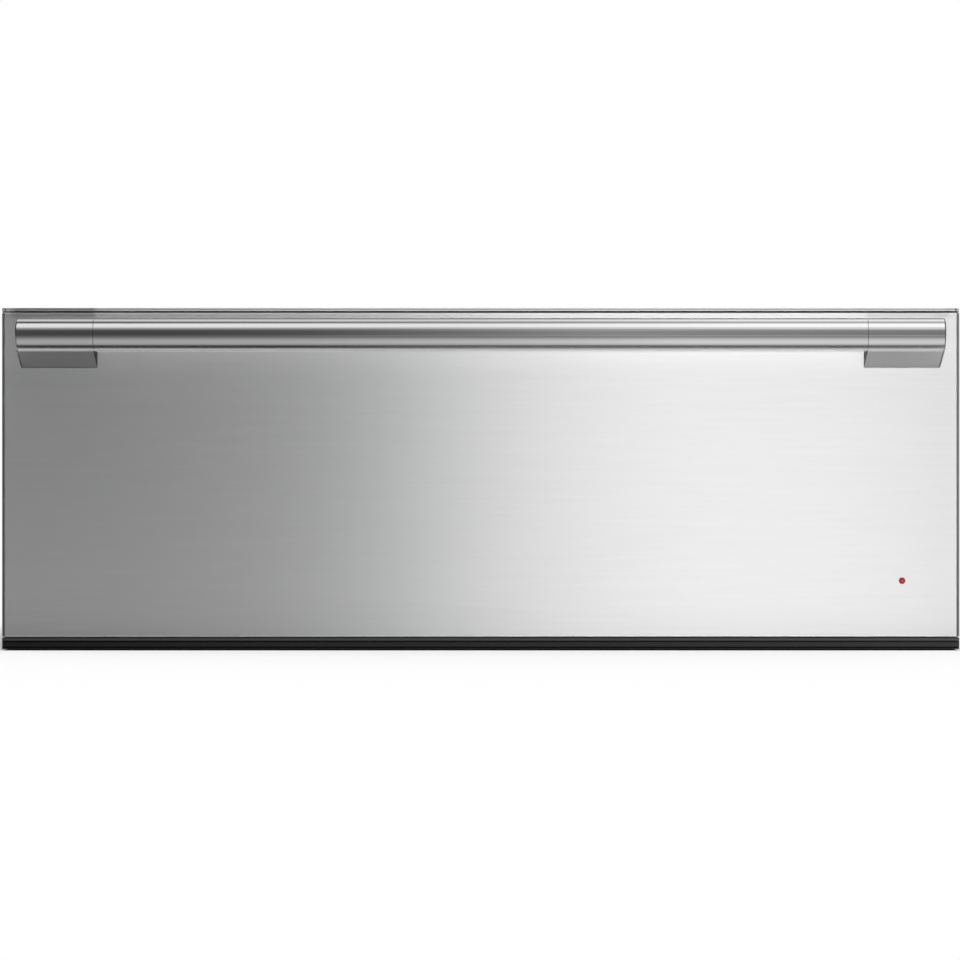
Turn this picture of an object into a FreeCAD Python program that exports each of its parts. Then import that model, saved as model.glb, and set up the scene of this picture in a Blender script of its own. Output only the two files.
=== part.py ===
# Warming drawer for a 30-inch (760 mm) kitchen run, free-standing on a worktop.
# Units are millimetres. +Z is up, the drawer front faces -Y and the drawer slides out along -Y.
# The origin is the centre of the footprint, on the surface that the feet stand on.
import FreeCAD, Part
import math
import os

from FreeCAD import Vector

# ---------------------------------------------------------------- driving dimensions
# Overall
WIDTH = 756.0               # across the drawer front and the casing
HEIGHT = 270.5              # worktop to the top panel
CASE_DEPTH = 540.0          # front frame to the rear edge of the casing

# Sheet metal
SKIN = 1.0                  # stainless outer panels
CHASSIS = 1.2               # galvanised frame and base
LINER_WALL = 0.8            # cavity liner
TUB_WALL = 0.9              # drawn drawer tub
FLANGE = 12.0               # folded flanges of the frame and the side panels
FIT = 0.1                   # clearance of a panel inside a fold, and of a screw in its hole

# Levels and setbacks of the front
FOOT_HEIGHT = 6.0           # worktop to the base pan
TRIM_LIFT = 1.1             # worktop to the vent trim
FRONT_BOTTOM = 10.8         # worktop to the drawer front
TRIM_GAP = 0.8              # vent trim to the drawer front
TOP_LIP = 2.4               # hemmed edge of the top panel
FRONT_TOP_GAP = 1.5         # drawer front to the top panel's hem
TOP_SETBACK = 3.0           # top panel's hem behind the drawer front's face
TRIM_SETBACK = 2.0          # vent trim behind the drawer front's face
RELIEF_SLIT = 0.7           # slit at each front corner of the hem, where the folds meet

# Drawer front
FRONT_DEPTH = 24.0          # outer face to the inner panel's back
FRONT_SIDE_R = 2.2          # bend radius of the drawer front's sides
FRONT_EDGE_R = 0.6          # and of its top and bottom
INNER_PANEL_WALL = 0.8
INNER_PANEL_FLANGE = 14.0
SEAL_GAP = 4.0              # inner panel to the front frame, drawer closed
SEAL_PLAY = 0.3             # left between the seal and the frame
SEAL_WIDTH = 8.0
SEAL_MARGIN = 2.5           # cavity edge to the seal
SEAL_EDGE_R = 1.5

# Handle
TUBE_R = 12.7               # one-inch bar
TUBE_WALL = 1.6
HANDLE_REACH = 44.0         # bar's axis to the drawer front
HANDLE_DROP = 22.1          # top of the casing to the bar's axis
HANDLE_INSET = 14.9         # end of the drawer front to the bracket
BRACKET_LENGTH = 60.6
BRACKET_FOOT = 26.0         # height of the bracket where it meets the front
BRACKET_RISE = 1.1          # bar's axis to the top of the bracket's foot
BRACKET_EDGE_R = 1.5
SEAM = 0.25                 # bar to bracket
SPIGOT_LENGTH = 24.0
SPIGOT_FIT = 0.05
HANDLE_SCREW_R = 2.5
HANDLE_SCREW_HEAD_R = 4.6
HANDLE_SCREW_HEAD = 2.8
HANDLE_SCREW_BITE = 14.0    # thread inside the bracket
HANDLE_SCREW_PITCH = 36.0
BACKING_PLATE = 3.0
BACKING_INSET = 2.0         # bracket's end to the backing plate's
POCKET_MARGIN = 3.0         # room round the backing plate in the insulation

# Indicator lamp
LAMP_INSET = 45.3           # end of the drawer front to the lens
LAMP_RISE = 44.3            # bottom of the drawer front to the lens
LENS_R = 2.5
LENS_DOME = 0.35            # height of the lens's dome, and of its rim
LENS_FLANGE = 1.3           # flange behind the skin, beyond the lens's radius
LED_R = 1.8
LED_WALL = 1.1              # holder round the LED
LED_FLANGE = 1.3            # holder's flange, beyond the holder's radius
LED_LENGTH = 9.0            # holder behind the frame
LED_REACH = 1.6             # holder in front of the frame

# Cavity
CAVITY_SIDE = 66.0          # casing's side to the cavity
CAVITY_FLOOR = 24.0         # worktop to the liner's floor
CAVITY_CEILING = 32.5       # top of the casing to the liner's ceiling
CAVITY_REAR = 70.0          # rear edge of the casing to the liner's back wall
LINER_FLANGE = 8.0
INSULATION_GAP = 0.5        # blankets to the sheets around them
REAR_BLANKET = 19.0

# Drawer tub
TUB_REAR_GAP = 8.0          # tub's rim to the fan cover
TUB_LIFT = 22.0             # liner floor to the tub, room for the heater
TUB_HEADROOM = 16.0         # tub's rim to the liner's ceiling
TUB_CORNER_R = 24.0
TUB_FLOOR_R = 10.0
TUB_RIM = 6.0
TUB_SCREW_R = 1.8
TUB_SCREW_HEAD_R = 3.4
TUB_SCREW_HEAD = 1.5
TUB_SCREW_EDGE_R = 0.6
TUB_SCREW_INSET = 50.0      # tub's side to the outer screws
TUB_SCREW_LOW = 32.0        # tub's floor to the lower row
TUB_SCREW_HIGH = 24.0       # tub's rim to the upper row
RUNNER_SCREW_INSET = 40.0   # tub's ends to the outer runner screws
GLASS = 4.0
GLASS_GAP = 2.9             # floor's bend to the glass plate
GLASS_CORNER_R = 14.0
GLASS_EDGE_R = 0.8
MAT = 1.5
MAT_INSET = 3.0             # glass edge to the mat

# Telescopic runners: outer, middle and inner rail, with two rows of balls between each pair
RAIL_THICK = 12.7
RAIL_HEIGHT = 45.0
RAIL_SETBACK = 4.0          # front frame to the rails
RAIL_REAR_GAP = 16.0        # rails to the liner's back wall
RAIL_RISE = 38.0            # tub's floor to the rails' centre line
RAIL_WALL = 1.2
RAIL_LIP = 2.2              # rolled edge that keeps the balls in
OUTER_STEP = 3.1            # open side of the outer rail, short of the full thickness
MIDDLE_STEP = 0.5           # open side of the middle rail to the inner rail's web
BALL_FILL_RATIO = 0.31      # ball's radius over the room between cage and rolled edge
BALL_PLAY = 0.05
BALL_COUNT = 8              # in each row
BALL_PITCH = 17.0
CAGE_WALL = 0.6
CAGE_START = 150.0          # rails' front ends to the cages, drawer closed
CAGE_PLAY = 0.3

# Base, rear, screws and feet
REAR_RECESS = 10.0          # rear plate inside the casing's rear edge
BASE_FLANGE = 16.0
BASE_FLANGE_RELIEF = 2.0    # base pan's side flange to the frame and the rear panel
FOOT_R = 15.0
FOOT_TOP_R = 17.0
FOOT_INSET = 45.0
FOOT_SCREW_R = 2.0
FOOT_SCREW_HEAD_R = 4.0
FOOT_SCREW_HEAD = 1.6
FOOT_RECESS_GAP = 0.6       # round the screw's head
SCREW_R = 1.6
SCREW_HEAD_R = 3.2
SCREW_LENGTH = 5.0
SCREW_TOP_INSET = 45.0      # top and bottom rear screws from the casing's edges
SCREW_FRONT_INSET = 70.0    # foremost base screw behind the frame
SCREW_REAR_INSET = 60.0     # rearmost base screw from the rear edge
SCREW_SIDE_INSET = 80.0     # top screws from the casing's sides
TRIM_SCREW_R = 1.1
TRIM_SCREW_HEAD = 1.3
TRIM_SCREW_INSET = 60.0
GLAND_BORE_R = 4.0
GLAND_WALL = 4.0
GLAND_RIM = 3.0             # flange and lock nut, beyond the gland's body
GLAND_FLANGE = 4.0
GLAND_NUT = 2.0
GLAND_INSIDE = 9.0
GLAND_INSET = 98.0          # casing's side to the gland
GLAND_RISE = 40.0           # base pan to the gland
SLOT_COUNT = 11
SLOT_PITCH = 9.0
SLOT_HEIGHT = 3.0
SLOT_LENGTH = 62.0
SLOT_GROUP_X = 165.0

# Heater
HEATER_R = 3.3
HEATER_RISE = 10.0          # liner floor to the element's axis
HEATER_INSET = 102.0        # cavity's side to the outer legs
HEATER_LEGS = 4
HEATER_FRONT = 60.0         # front frame to the foremost bend
HEATER_BACK = 40.0          # liner's back wall to the rear bend
HEATER_TAIL = 14.0          # cold ends behind the liner
HEATER_HOLE_GAP = 1.0
STAND_WALL = 2.0
STAND_MARGIN = 3.0          # stand's side beyond the element
STAND_FOOT = 9.0
SADDLE_FIT = 0.05

# Fan and its motor
FAN_COVER_HALF = 140.0
FAN_COVER_LOW = 48.0        # liner's floor to the cover
FAN_COVER_HIGH = 10.0       # liner's ceiling to the cover
FAN_COVER_DEPTH = 26.0
GRILLE_HOLE_R = 3.0
GRILLE_STEP = 9.0
GRILLE_RINGS = 4
OUTLET_COUNT = 9
OUTLET_PITCH = 28.0
OUTLET_LENGTH = 16.0
OUTLET_INSET = 7.0
FAN_R = 50.0
FAN_FRONT_GAP = 4.2         # impeller to the cover
FAN_BACK_GAP = 4.0          # impeller to the liner
FAN_PLATE = 1.0
FAN_BLADES = 12
FAN_BLADE_ROOT = 27.5       # blades' inner radius
FAN_BLADE_SWEEP = 30.0      # degrees
FAN_RIM = 7.0
FAN_RIM_DEPTH = 1.5
FAN_HUB_R = 7.0
FAN_HUB = 10.0
SHAFT_R = 3.0
SHAFT_PLAY = 0.05
SHAFT_GAP = 2.0             # round the shaft where it passes a wall
SHAFT_TAIL = 2.0
MOTOR_HALF = 35.0           # half the laminated stack's width
MOTOR_STACK = 20.0          # stack's depth
MOTOR_BELOW = 24.0          # shaft axis to the stack's underside
MOTOR_ABOVE = 42.0          # shaft axis to the stack's top
MOTOR_LEG = 10.0            # width of the stack's legs
MOTOR_NECK = 6.0            # stack round the rotor, below the winding
ROTOR_R = 12.0
ROTOR_PLAY = 0.4
ROTOR_INSET = 1.0
COIL_WRAP = 5.0
COIL_EDGE_R = 2.0
COIL_GAP = 0.2              # winding to the stack
BRIDGE = 1.5
BRIDGE_HALF = 7.0
BRIDGE_INSET = 4.0
BRACKET_MARGIN = 6.0        # motor bracket beyond the stack
BRACKET_TAB = 10.0          # motor bracket's feet
BRACKET_POST_R = 3.0
PROBE_R = 2.5
PROBE_REACH = 40.0
PROBE_COLLAR_R = 6.0
PROBE_COLLAR = 2.5
PROBE_TAIL = 6.0
PROBE_OFFSET = 35.0         # fan cover to the probe
PROBE_DROP = 40.0           # liner's ceiling to the probe
CUTOUT_R = 8.0
CUTOUT_DEPTH = 7.0
CUTOUT_EAR = 4.0
CUTOUT_TAB = 7.0
CUTOUT_OFFSET = 40.0
CUTOUT_DROP = 45.0
BLANKET_WINDOW = 12.0       # cleared round what passes through the rear blanket

# Electrics
BOARD_INSET = 173.0         # casing's side to the middle of the power board
BOARD_HALF = 62.0
BOARD_RISE = 55.0           # base pan to the power board
BOARD_HEIGHT = 80.0
BOARD = 1.6
BOARD_STAND = 8.0
BOARD_COLUMNS = 12          # grid that places the board's parts
BOARD_ROWS = 8
STAND_OFF_R = 3.0
STAND_OFF_INSET = 6.0
TERMINAL_RISE = 34.0        # gland's axis to the terminal block
TERMINAL_HEIGHT = 20.0
TERMINAL_DEPTH = 16.0
TERMINAL_PITCH = 16.0
TERMINAL_WAYS = 3
LOOM_R = 1.8
LOOM_GAP = 0.6
LOOM_BEND = 8.0
LOOM_RISE = 3.0             # liner's ceiling to the run across the front
LOOM_SETBACK = 4.0          # frame to the run across the front
LAMP_LEAD_R = 1.0
LOOM_CLIP = 6.0
LOOM_CLIPS = 3

# Controls, on the frame behind the closed drawer front
PANEL_INSET = 188.0         # casing's side to the middle of the panel
PANEL_HALF = 72.0
PANEL_MARGIN = 2.7          # panel to the seal and to the frame's top
PANEL_PROUD = 1.0
PANEL_WALL = 1.5
PANEL_EDGE_R = 0.6
BUTTON_INSET = 22.0         # panel's end to the first button's middle
BUTTON_PITCH = 34.0
BUTTON_HALF = 9.0
BUTTON_MARGIN = 3.2         # panel's edge to the button's edge
BUTTON_PLAY = 0.25
BUTTON_PROUD = 0.6          # beyond the panel
BUTTON_TRAVEL = 1.0
BUTTON_COLLAR = 1.0         # retaining collar behind the panel
BUTTON_DEPTH = 2.2          # collar's room behind the panel
BUTTON_EDGE_R = 0.5
SWITCH = 2.6
SWITCH_GAP = 0.2
SWITCH_HALF = 2.5
LIGHT_COUNT = 4
LIGHT_PITCH = 8.0
LIGHT_INSET = 12.0
LIGHT_R = 1.4

# Vent trim: three blades with two air slots between them
UPPER_BLADE = 2.2
MIDDLE_BLADE = 3.9
LOWER_BLADE = 1.0
MIDDLE_BLADE_SETBACK = 0.8
LOWER_BLADE_SETBACK = 0.3
BLADE_DEPTH = 9.0
TRIM_WALL = 1.6
TRIM_RIB_PITCH = 63.0
TRIM_END_SETBACK = 1.2

# ---------------------------------------------------------------- derived places
HALF = WIDTH / 2
TOTAL_DEPTH = TUBE_R + HANDLE_REACH + FRONT_DEPTH + SEAL_GAP + CASE_DEPTH
HANDLE_Y = TUBE_R - TOTAL_DEPTH / 2
HANDLE_Z = HEIGHT - HANDLE_DROP
FACE_Y = HANDLE_Y + HANDLE_REACH
INNER_Y = FACE_Y + FRONT_DEPTH                  # back of the drawer front
FRAME_Y = INNER_Y + SEAL_GAP
REAR_Y = FRAME_Y + CASE_DEPTH
REAR_PLATE_Y = REAR_Y - REAR_RECESS             # rear plate's outer face
REAR_INNER_Y = REAR_PLATE_Y - SKIN
LIP_Z = HEIGHT - TOP_LIP
FRONT_TOP = LIP_Z - FRONT_TOP_GAP
FRAME_TOP = LIP_Z - SKIN
BASE_TOP = FOOT_HEIGHT + CHASSIS
SIDE_BOTTOM = FOOT_HEIGHT - SKIN                # side panel's flange lies under the base pan
SIDE_INNER = HALF - SKIN
CAVITY_HALF = HALF - CAVITY_SIDE
CAVITY_TOP = HEIGHT - CAVITY_CEILING
LINER_BACK = REAR_Y - CAVITY_REAR               # inner face of the liner's back wall
LINER_REAR = LINER_BACK + LINER_WALL
BLANKET_REAR = LINER_REAR + INSULATION_GAP + REAR_BLANKET
BLANKET_FRONT = FRAME_Y + FLANGE + INSULATION_GAP
BLANKET_HALF = SIDE_INNER - CHASSIS - 2 * (LOOM_R + LOOM_GAP)
TUB_HALF = CAVITY_HALF - RAIL_THICK
TUB_BOTTOM = CAVITY_FLOOR + TUB_LIFT
TUB_TOP = CAVITY_TOP - TUB_HEADROOM
TUB_BACK = LINER_BACK - FAN_COVER_DEPTH - TUB_REAR_GAP - TUB_RIM
RAIL_Y = FRAME_Y + RAIL_SETBACK
RAIL_END = LINER_BACK - RAIL_REAR_GAP
RAIL_Z = TUB_BOTTOM + RAIL_RISE
HEATER_Z = CAVITY_FLOOR + HEATER_RISE
SEAL_INNER = CAVITY_HALF + SEAL_MARGIN
SEAL_LOW = CAVITY_FLOOR - SEAL_MARGIN
SEAL_HIGH = CAVITY_TOP + SEAL_MARGIN
PANEL_Z = (SEAL_HIGH + SEAL_WIDTH + FRAME_TOP) / 2
PANEL_HALF_HEIGHT = (FRAME_TOP - SEAL_HIGH - SEAL_WIDTH) / 2 - PANEL_MARGIN
PANEL_X = HALF - PANEL_INSET
BUTTON_HALF_HEIGHT = PANEL_HALF_HEIGHT - BUTTON_MARGIN
BRACKET_OUTER = HALF - HANDLE_INSET
BRACKET_INNER = BRACKET_OUTER - BRACKET_LENGTH
BRACKET_MIDDLE = BRACKET_OUTER - BRACKET_LENGTH / 2
BRACKET_HIGH = HANDLE_Z + BRACKET_RISE
BRACKET_LOW = BRACKET_HIGH - BRACKET_FOOT
HANDLE_SCREW_Z = (BRACKET_LOW + BRACKET_HIGH) / 2
LENS_X = HALF - LAMP_INSET
LENS_Z = FRONT_BOTTOM + LAMP_RISE
TRIM_TOP = FRONT_BOTTOM - TRIM_GAP
TRIM_SCREW_Z = (TRIM_LIFT + FOOT_HEIGHT) / 2
FAN_LOW = CAVITY_FLOOR + FAN_COVER_LOW
FAN_HIGH = CAVITY_TOP - FAN_COVER_HIGH
FAN_Z = (FAN_LOW + FAN_HIGH) / 2
FAN_COVER_Y = LINER_BACK - FAN_COVER_DEPTH
FAN_FRONT = FAN_COVER_Y + LINER_WALL + FAN_FRONT_GAP
FAN_PLATE_Y = LINER_BACK - FAN_BACK_GAP - FAN_PLATE
MOTOR_Y = BLANKET_REAR + SKIN                   # front of the laminated stack
MOTOR_END = MOTOR_Y + MOTOR_STACK
GLAND_X = GLAND_INSET - HALF
GLAND_Z = BASE_TOP + GLAND_RISE
GLAND_R = GLAND_BORE_R + GLAND_WALL
BOARD_X = HALF - BOARD_INSET
BOARD_LOW = BASE_TOP + BOARD_RISE
BOARD_BACK = REAR_INNER_Y - BOARD_STAND
BOARD_FACE = BOARD_BACK - BOARD

PARTS = {}
X, Y, Z = Vector(1, 0, 0), Vector(0, 1, 0), Vector(0, 0, 1)
PAST = 1.0                  # how far a cutting tool runs past the face that it opens


# ---------------------------------------------------------------- shape helpers
def block(x0, x1, y0, y1, z0, z1):
    return Part.makeBox(x1 - x0, y1 - y0, z1 - z0, Vector(x0, y0, z0))


def slab(half, y0, y1, z0, z1):
    """A block centred on the middle plane."""
    return block(-half, half, y0, y1, z0, z1)


def rod(axis, start, length, radius):
    return Part.makeCylinder(radius, length, Vector(*start), axis)


def drill(axis, start, length, radius):
    """A rod that runs past both ends of its stretch, to cut a hole."""
    return Part.makeCylinder(radius, length + 2 * PAST, Vector(*start) - axis * PAST, axis)


def flat(items):
    out = []
    for item in items:
        out += flat(item) if isinstance(item, (list, tuple)) else [item]
    return out


def fused(*shapes):
    first, *rest = flat(shapes)
    whole = first.multiFuse(rest) if rest else first
    return whole.removeSplitter()


def without(shape, *tools):
    tools = flat(tools)
    return shape.cut(tools) if tools else shape


def mirrored(shape):
    return shape.mirror(Vector(0, 0, 0), X)


def both_sides(shape):
    return [shape, mirrored(shape)]


def moved(shape, x=0.0, y=0.0, z=0.0):
    copy = shape.copy()
    copy.translate(Vector(x, y, z))
    return copy


def rounded(shape, radius, chosen):
    return shape.makeFillet(radius, [e for e in shape.Edges if chosen(e)])


def lies_at(edge, **planes):
    """True if every end of the edge has the named coordinates."""
    return all(abs(getattr(v.Point, name) - value) < 1e-4
               for v in edge.Vertexes for name, value in planes.items())


def runs_along(edge, axis):
    if len(edge.Vertexes) < 2:
        return False
    step = edge.Vertexes[1].Point - edge.Vertexes[0].Point
    return step.cross(axis).Length < 1e-4 * step.Length


def rounded_slab(half, y0, y1, z0, z1, radius):
    """A slab with its four upright corners rounded."""
    return rounded(slab(half, y0, y1, z0, z1), radius, lambda e: runs_along(e, Z))


def frame_ring(half_in, z_in0, z_in1, width, y0, y1):
    """A flat rectangular ring, upright, of the given width."""
    outer = slab(half_in + width, y0, y1, z_in0 - width, z_in1 + width)
    return outer.cut(slab(half_in, y0 - PAST, y1 + PAST, z_in0, z_in1))


def spaced(first, last, count):
    step = (last - first) / (count - 1)
    return [first + i * step for i in range(count)]


def swept_tube(points, radius, bend):
    """A round tube along straight runs joined by tangent arcs."""
    edges, here = [], points[0]
    for before, corner, after in zip(points, points[1:], points[2:]):
        inward = (before - corner).normalize()
        outward = (after - corner).normalize()
        reach = min(bend, 0.45 * (before - corner).Length, 0.45 * (after - corner).Length)
        enter, leave = corner + inward * reach, corner + outward * reach
        half_turn = math.acos(inward.dot(outward)) / 2
        to_centre = reach / math.cos(half_turn)
        middle = corner + (inward + outward).normalize() * (to_centre - reach * math.tan(half_turn))
        edges += [Part.makeLine(here, enter), Part.Arc(enter, middle, leave).toShape()]
        here = leave
    edges.append(Part.makeLine(here, points[-1]))
    return tube_along(edges, radius)


def tube_along(edges, radius):
    path = Part.Wire(edges)
    start = edges[0].Vertexes[0].Point
    axis = edges[0].Vertexes[1].Point - start
    ring = Part.Wire([Part.Circle(start, axis, radius).toShape()])
    return path.makePipeShell([ring], True, False)


def keep(name, *solids):
    PARTS[name] = flat(solids)


# ---------------------------------------------------------------- screws
def countersunk(point, outward, radius_play=0.0, length_play=0.0):
    """A countersunk screw with its head flush at point, or the hole for it with some play."""
    start, inward = Vector(*point), outward * -1
    head = Part.makeCone(SCREW_HEAD_R + radius_play, SCREW_R + radius_play, SCREW_HEAD_R - SCREW_R,
                         start, inward)
    return fused(head, Part.makeCylinder(SCREW_R + radius_play, SCREW_LENGTH + length_play, start, inward))


def casing_screw(point, outward):
    recess = Part.makeCylinder(SCREW_R * 0.6, SCREW_R * 0.7, Vector(*point), outward * -1)
    return countersunk(point, outward).cut(recess)


def screw_places():
    """Where each casing screw sits: point and outward direction."""
    rear_y = REAR_Y - REAR_RECESS / 2
    base_z = BASE_TOP + BASE_FLANGE / 2
    for side in (1, -1):
        for z in spaced(BASE_TOP + SCREW_TOP_INSET, FRAME_TOP - SCREW_TOP_INSET, 3):
            yield (side * HALF, rear_y, z), X * side
        for y in spaced(FRAME_Y + SCREW_FRONT_INSET, REAR_Y - SCREW_REAR_INSET, 3):
            yield (side * HALF, y, base_z), X * side
    for x in spaced(SCREW_SIDE_INSET - HALF, HALF - SCREW_SIDE_INSET, 3):
        yield (x, rear_y, HEIGHT), Z


def screw_holes():
    return [countersunk(point, outward, FIT, PAST) for point, outward in screw_places()]


def pan_head(seat, axis):
    head = Part.makeCylinder(TUB_SCREW_HEAD_R, TUB_SCREW_HEAD, seat, axis)
    rim = [e for e in head.Edges if e.Closed and (e.Vertexes[0].Point - seat).dot(axis) > TUB_SCREW_HEAD / 2]
    recess = Part.makeCylinder(TUB_SCREW_R * 0.6, TUB_SCREW_HEAD, seat + axis * TUB_SCREW_HEAD / 2, axis)
    return head.makeFillet(TUB_SCREW_EDGE_R, rim).cut(recess)


# ---------------------------------------------------------------- casing panels
def top_panel():
    front = FACE_Y + TOP_SETBACK
    under = HEIGHT - SKIN
    plate = slab(HALF, front, REAR_Y, under, HEIGHT)
    front_hem = slab(HALF, front, front + FLANGE, LIP_Z, under)
    rear_hem = slab(HALF, REAR_PLATE_Y, REAR_Y, LIP_Z, under)
    side_hem = block(HALF - TOP_LIP, HALF, front, REAR_Y, LIP_Z, under)
    slit = block(HALF - TOP_LIP - RELIEF_SLIT, HALF - TOP_LIP, front - PAST, front + FLANGE,
                 LIP_Z - PAST, HEIGHT + PAST)
    panel = fused(plate, front_hem, rear_hem, both_sides(side_hem))
    return without(panel, both_sides(slit), screw_holes())


def side_panel():
    plate = block(SIDE_INNER, HALF, FRAME_Y, REAR_Y, SIDE_BOTTOM, LIP_Z)
    foot_flange = block(HALF - FLANGE, HALF, FRAME_Y, REAR_Y, SIDE_BOTTOM, FOOT_HEIGHT)
    head_flange = block(HALF - FLANGE, HALF, FRAME_Y, REAR_Y, FRAME_TOP, LIP_Z)
    return without(fused(plate, foot_flange, head_flange), screw_holes())


def base_pan():
    floor = slab(SIDE_INNER, FRAME_Y, REAR_Y, FOOT_HEIGHT, BASE_TOP)
    side = block(SIDE_INNER - CHASSIS, SIDE_INNER, FRAME_Y + FLANGE + BASE_FLANGE_RELIEF,
                 REAR_INNER_Y - BASE_FLANGE_RELIEF, FOOT_HEIGHT, BASE_TOP + BASE_FLANGE)
    apron = slab(SIDE_INNER - FLANGE, FRAME_Y, FRAME_Y + CHASSIS, TRIM_LIFT + FIT, BASE_TOP)
    holes = [drill(Z, (x, y, FOOT_HEIGHT), CHASSIS, FOOT_SCREW_R + FIT) for x, y in foot_places()]
    holes += [drill(Y, (x, FRAME_Y, TRIM_SCREW_Z), CHASSIS, TRIM_SCREW_R + FIT) for x in trim_screw_run()]
    return without(fused(floor, both_sides(side), apron), holes, screw_holes())


def slot_levels():
    middle = (SLOT_COUNT - 1) / 2
    return [FAN_Z + (i - middle) * SLOT_PITCH for i in range(SLOT_COUNT)]


def rear_panel():
    """A tray let into the casing's rear, with two groups of air slots and the gland's hole."""
    notch = HALF - FLANGE - FIT
    plate = [slab(SIDE_INNER, REAR_INNER_Y, REAR_PLATE_Y, BASE_TOP, FRAME_TOP),
             slab(notch, REAR_INNER_Y, REAR_PLATE_Y, FRAME_TOP, LIP_Z)]
    side = block(SIDE_INNER - SKIN, SIDE_INNER, REAR_INNER_Y, REAR_Y, BASE_TOP, FRAME_TOP)
    foot_flange = slab(SIDE_INNER, REAR_INNER_Y, REAR_Y, BASE_TOP, BASE_TOP + SKIN)
    head_flange = slab(notch, REAR_INNER_Y, REAR_Y, FRAME_TOP, LIP_Z)
    slots = [block(x - SLOT_LENGTH / 2, x + SLOT_LENGTH / 2, REAR_INNER_Y - PAST, REAR_PLATE_Y + PAST,
                   z - SLOT_HEIGHT / 2, z + SLOT_HEIGHT / 2)
             for x in (-SLOT_GROUP_X, SLOT_GROUP_X) for z in slot_levels()]
    gland_hole = drill(Y, (GLAND_X, REAR_INNER_Y, GLAND_Z), SKIN, GLAND_R)
    tray = fused(plate, both_sides(side), foot_flange, head_flange)
    return without(tray, slots, gland_hole, screw_holes())


def front_frame():
    plate = slab(SIDE_INNER, FRAME_Y, FRAME_Y + CHASSIS, BASE_TOP, FRAME_TOP)
    side = block(SIDE_INNER - CHASSIS, SIDE_INNER, FRAME_Y, FRAME_Y + FLANGE, BASE_TOP, FRAME_TOP)
    foot_flange = slab(SIDE_INNER, FRAME_Y, FRAME_Y + FLANGE, BASE_TOP, BASE_TOP + CHASSIS)
    head_flange = slab(SIDE_INNER, FRAME_Y, FRAME_Y + FLANGE, FRAME_TOP - CHASSIS, FRAME_TOP)
    opening = slab(CAVITY_HALF, FRAME_Y - PAST, FRAME_Y + CHASSIS + PAST, CAVITY_FLOOR, CAVITY_TOP)
    controls = panel_block(PANEL_WALL, FRAME_Y - PAST, FRAME_Y + CHASSIS + PAST)
    lamp = drill(Y, (LENS_X, FRAME_Y, LENS_Z), CHASSIS, LED_R + LED_WALL)
    frame = fused(plate, both_sides(side), foot_flange, head_flange)
    return without(frame, opening, controls, lamp)


def trim_screw_run():
    return spaced(TRIM_SCREW_INSET - HALF, HALF - TRIM_SCREW_INSET, 4)


def vent_trim():
    """The black plinth below the drawer: three blades on ribs, open between them for air."""
    front = FACE_Y + TRIM_SETBACK
    back = slab(HALF, FRAME_Y - TRIM_WALL, FRAME_Y, TRIM_LIFT, TRIM_TOP)
    floor = slab(HALF, front + BLADE_DEPTH, FRAME_Y, TRIM_LIFT, TRIM_LIFT + TRIM_WALL)
    profile = [(UPPER_BLADE, 0), (MIDDLE_BLADE, MIDDLE_BLADE_SETBACK), (LOWER_BLADE, LOWER_BLADE_SETBACK)]
    slot = (TRIM_TOP - TRIM_LIFT - sum(height for height, _ in profile)) / (len(profile) - 1)
    blades, top = [], TRIM_TOP
    for height, setback in profile:
        blades.append(slab(HALF, front + setback, front + BLADE_DEPTH, top - height, top))
        top -= height + slot
    rib = block(0, TRIM_WALL, front + BLADE_DEPTH / 2, FRAME_Y, TRIM_LIFT, TRIM_TOP)
    ribs = [moved(rib, x=x) for x in spaced(-HALF, HALF - TRIM_WALL, round(WIDTH / TRIM_RIB_PITCH) + 1)]
    end = block(HALF - TRIM_WALL, HALF, front + TRIM_END_SETBACK, FRAME_Y, TRIM_LIFT, TRIM_TOP)
    holes = [drill(Y, (x, FRAME_Y - TRIM_WALL, TRIM_SCREW_Z), TRIM_WALL, TRIM_SCREW_R)
             for x in trim_screw_run()]
    return without(fused(back, floor, blades, ribs, both_sides(end)), holes)


def trim_screw(x):
    shank = rod(Y, (x, FRAME_Y - TRIM_WALL, TRIM_SCREW_Z), TRIM_WALL + CHASSIS, TRIM_SCREW_R)
    head = rod(Y, (x, FRAME_Y + CHASSIS, TRIM_SCREW_Z), TRIM_SCREW_HEAD, 2 * TRIM_SCREW_R)
    return fused(shank, head)


def foot_places():
    return [(side * (HALF - FOOT_INSET), y)
            for side in (-1, 1) for y in (FRAME_Y + FOOT_INSET, REAR_Y - FOOT_INSET)]


def foot(x, y):
    pad = Part.makeCone(FOOT_R, FOOT_TOP_R, FOOT_HEIGHT, Vector(x, y, 0), Z)
    recess = rod(Z, (x, y, -PAST), FOOT_HEIGHT / 2 + PAST, FOOT_SCREW_HEAD_R + FOOT_RECESS_GAP)
    return without(pad, recess, drill(Z, (x, y, 0), FOOT_HEIGHT, FOOT_SCREW_R + FIT))


def foot_screw(x, y):
    seat = FOOT_HEIGHT / 2
    head = rod(Z, (x, y, seat - FOOT_SCREW_HEAD), FOOT_SCREW_HEAD, FOOT_SCREW_HEAD_R)
    return fused(head, rod(Z, (x, y, seat), BASE_TOP + INSULATION_GAP / 2 - seat, FOOT_SCREW_R))


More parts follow.
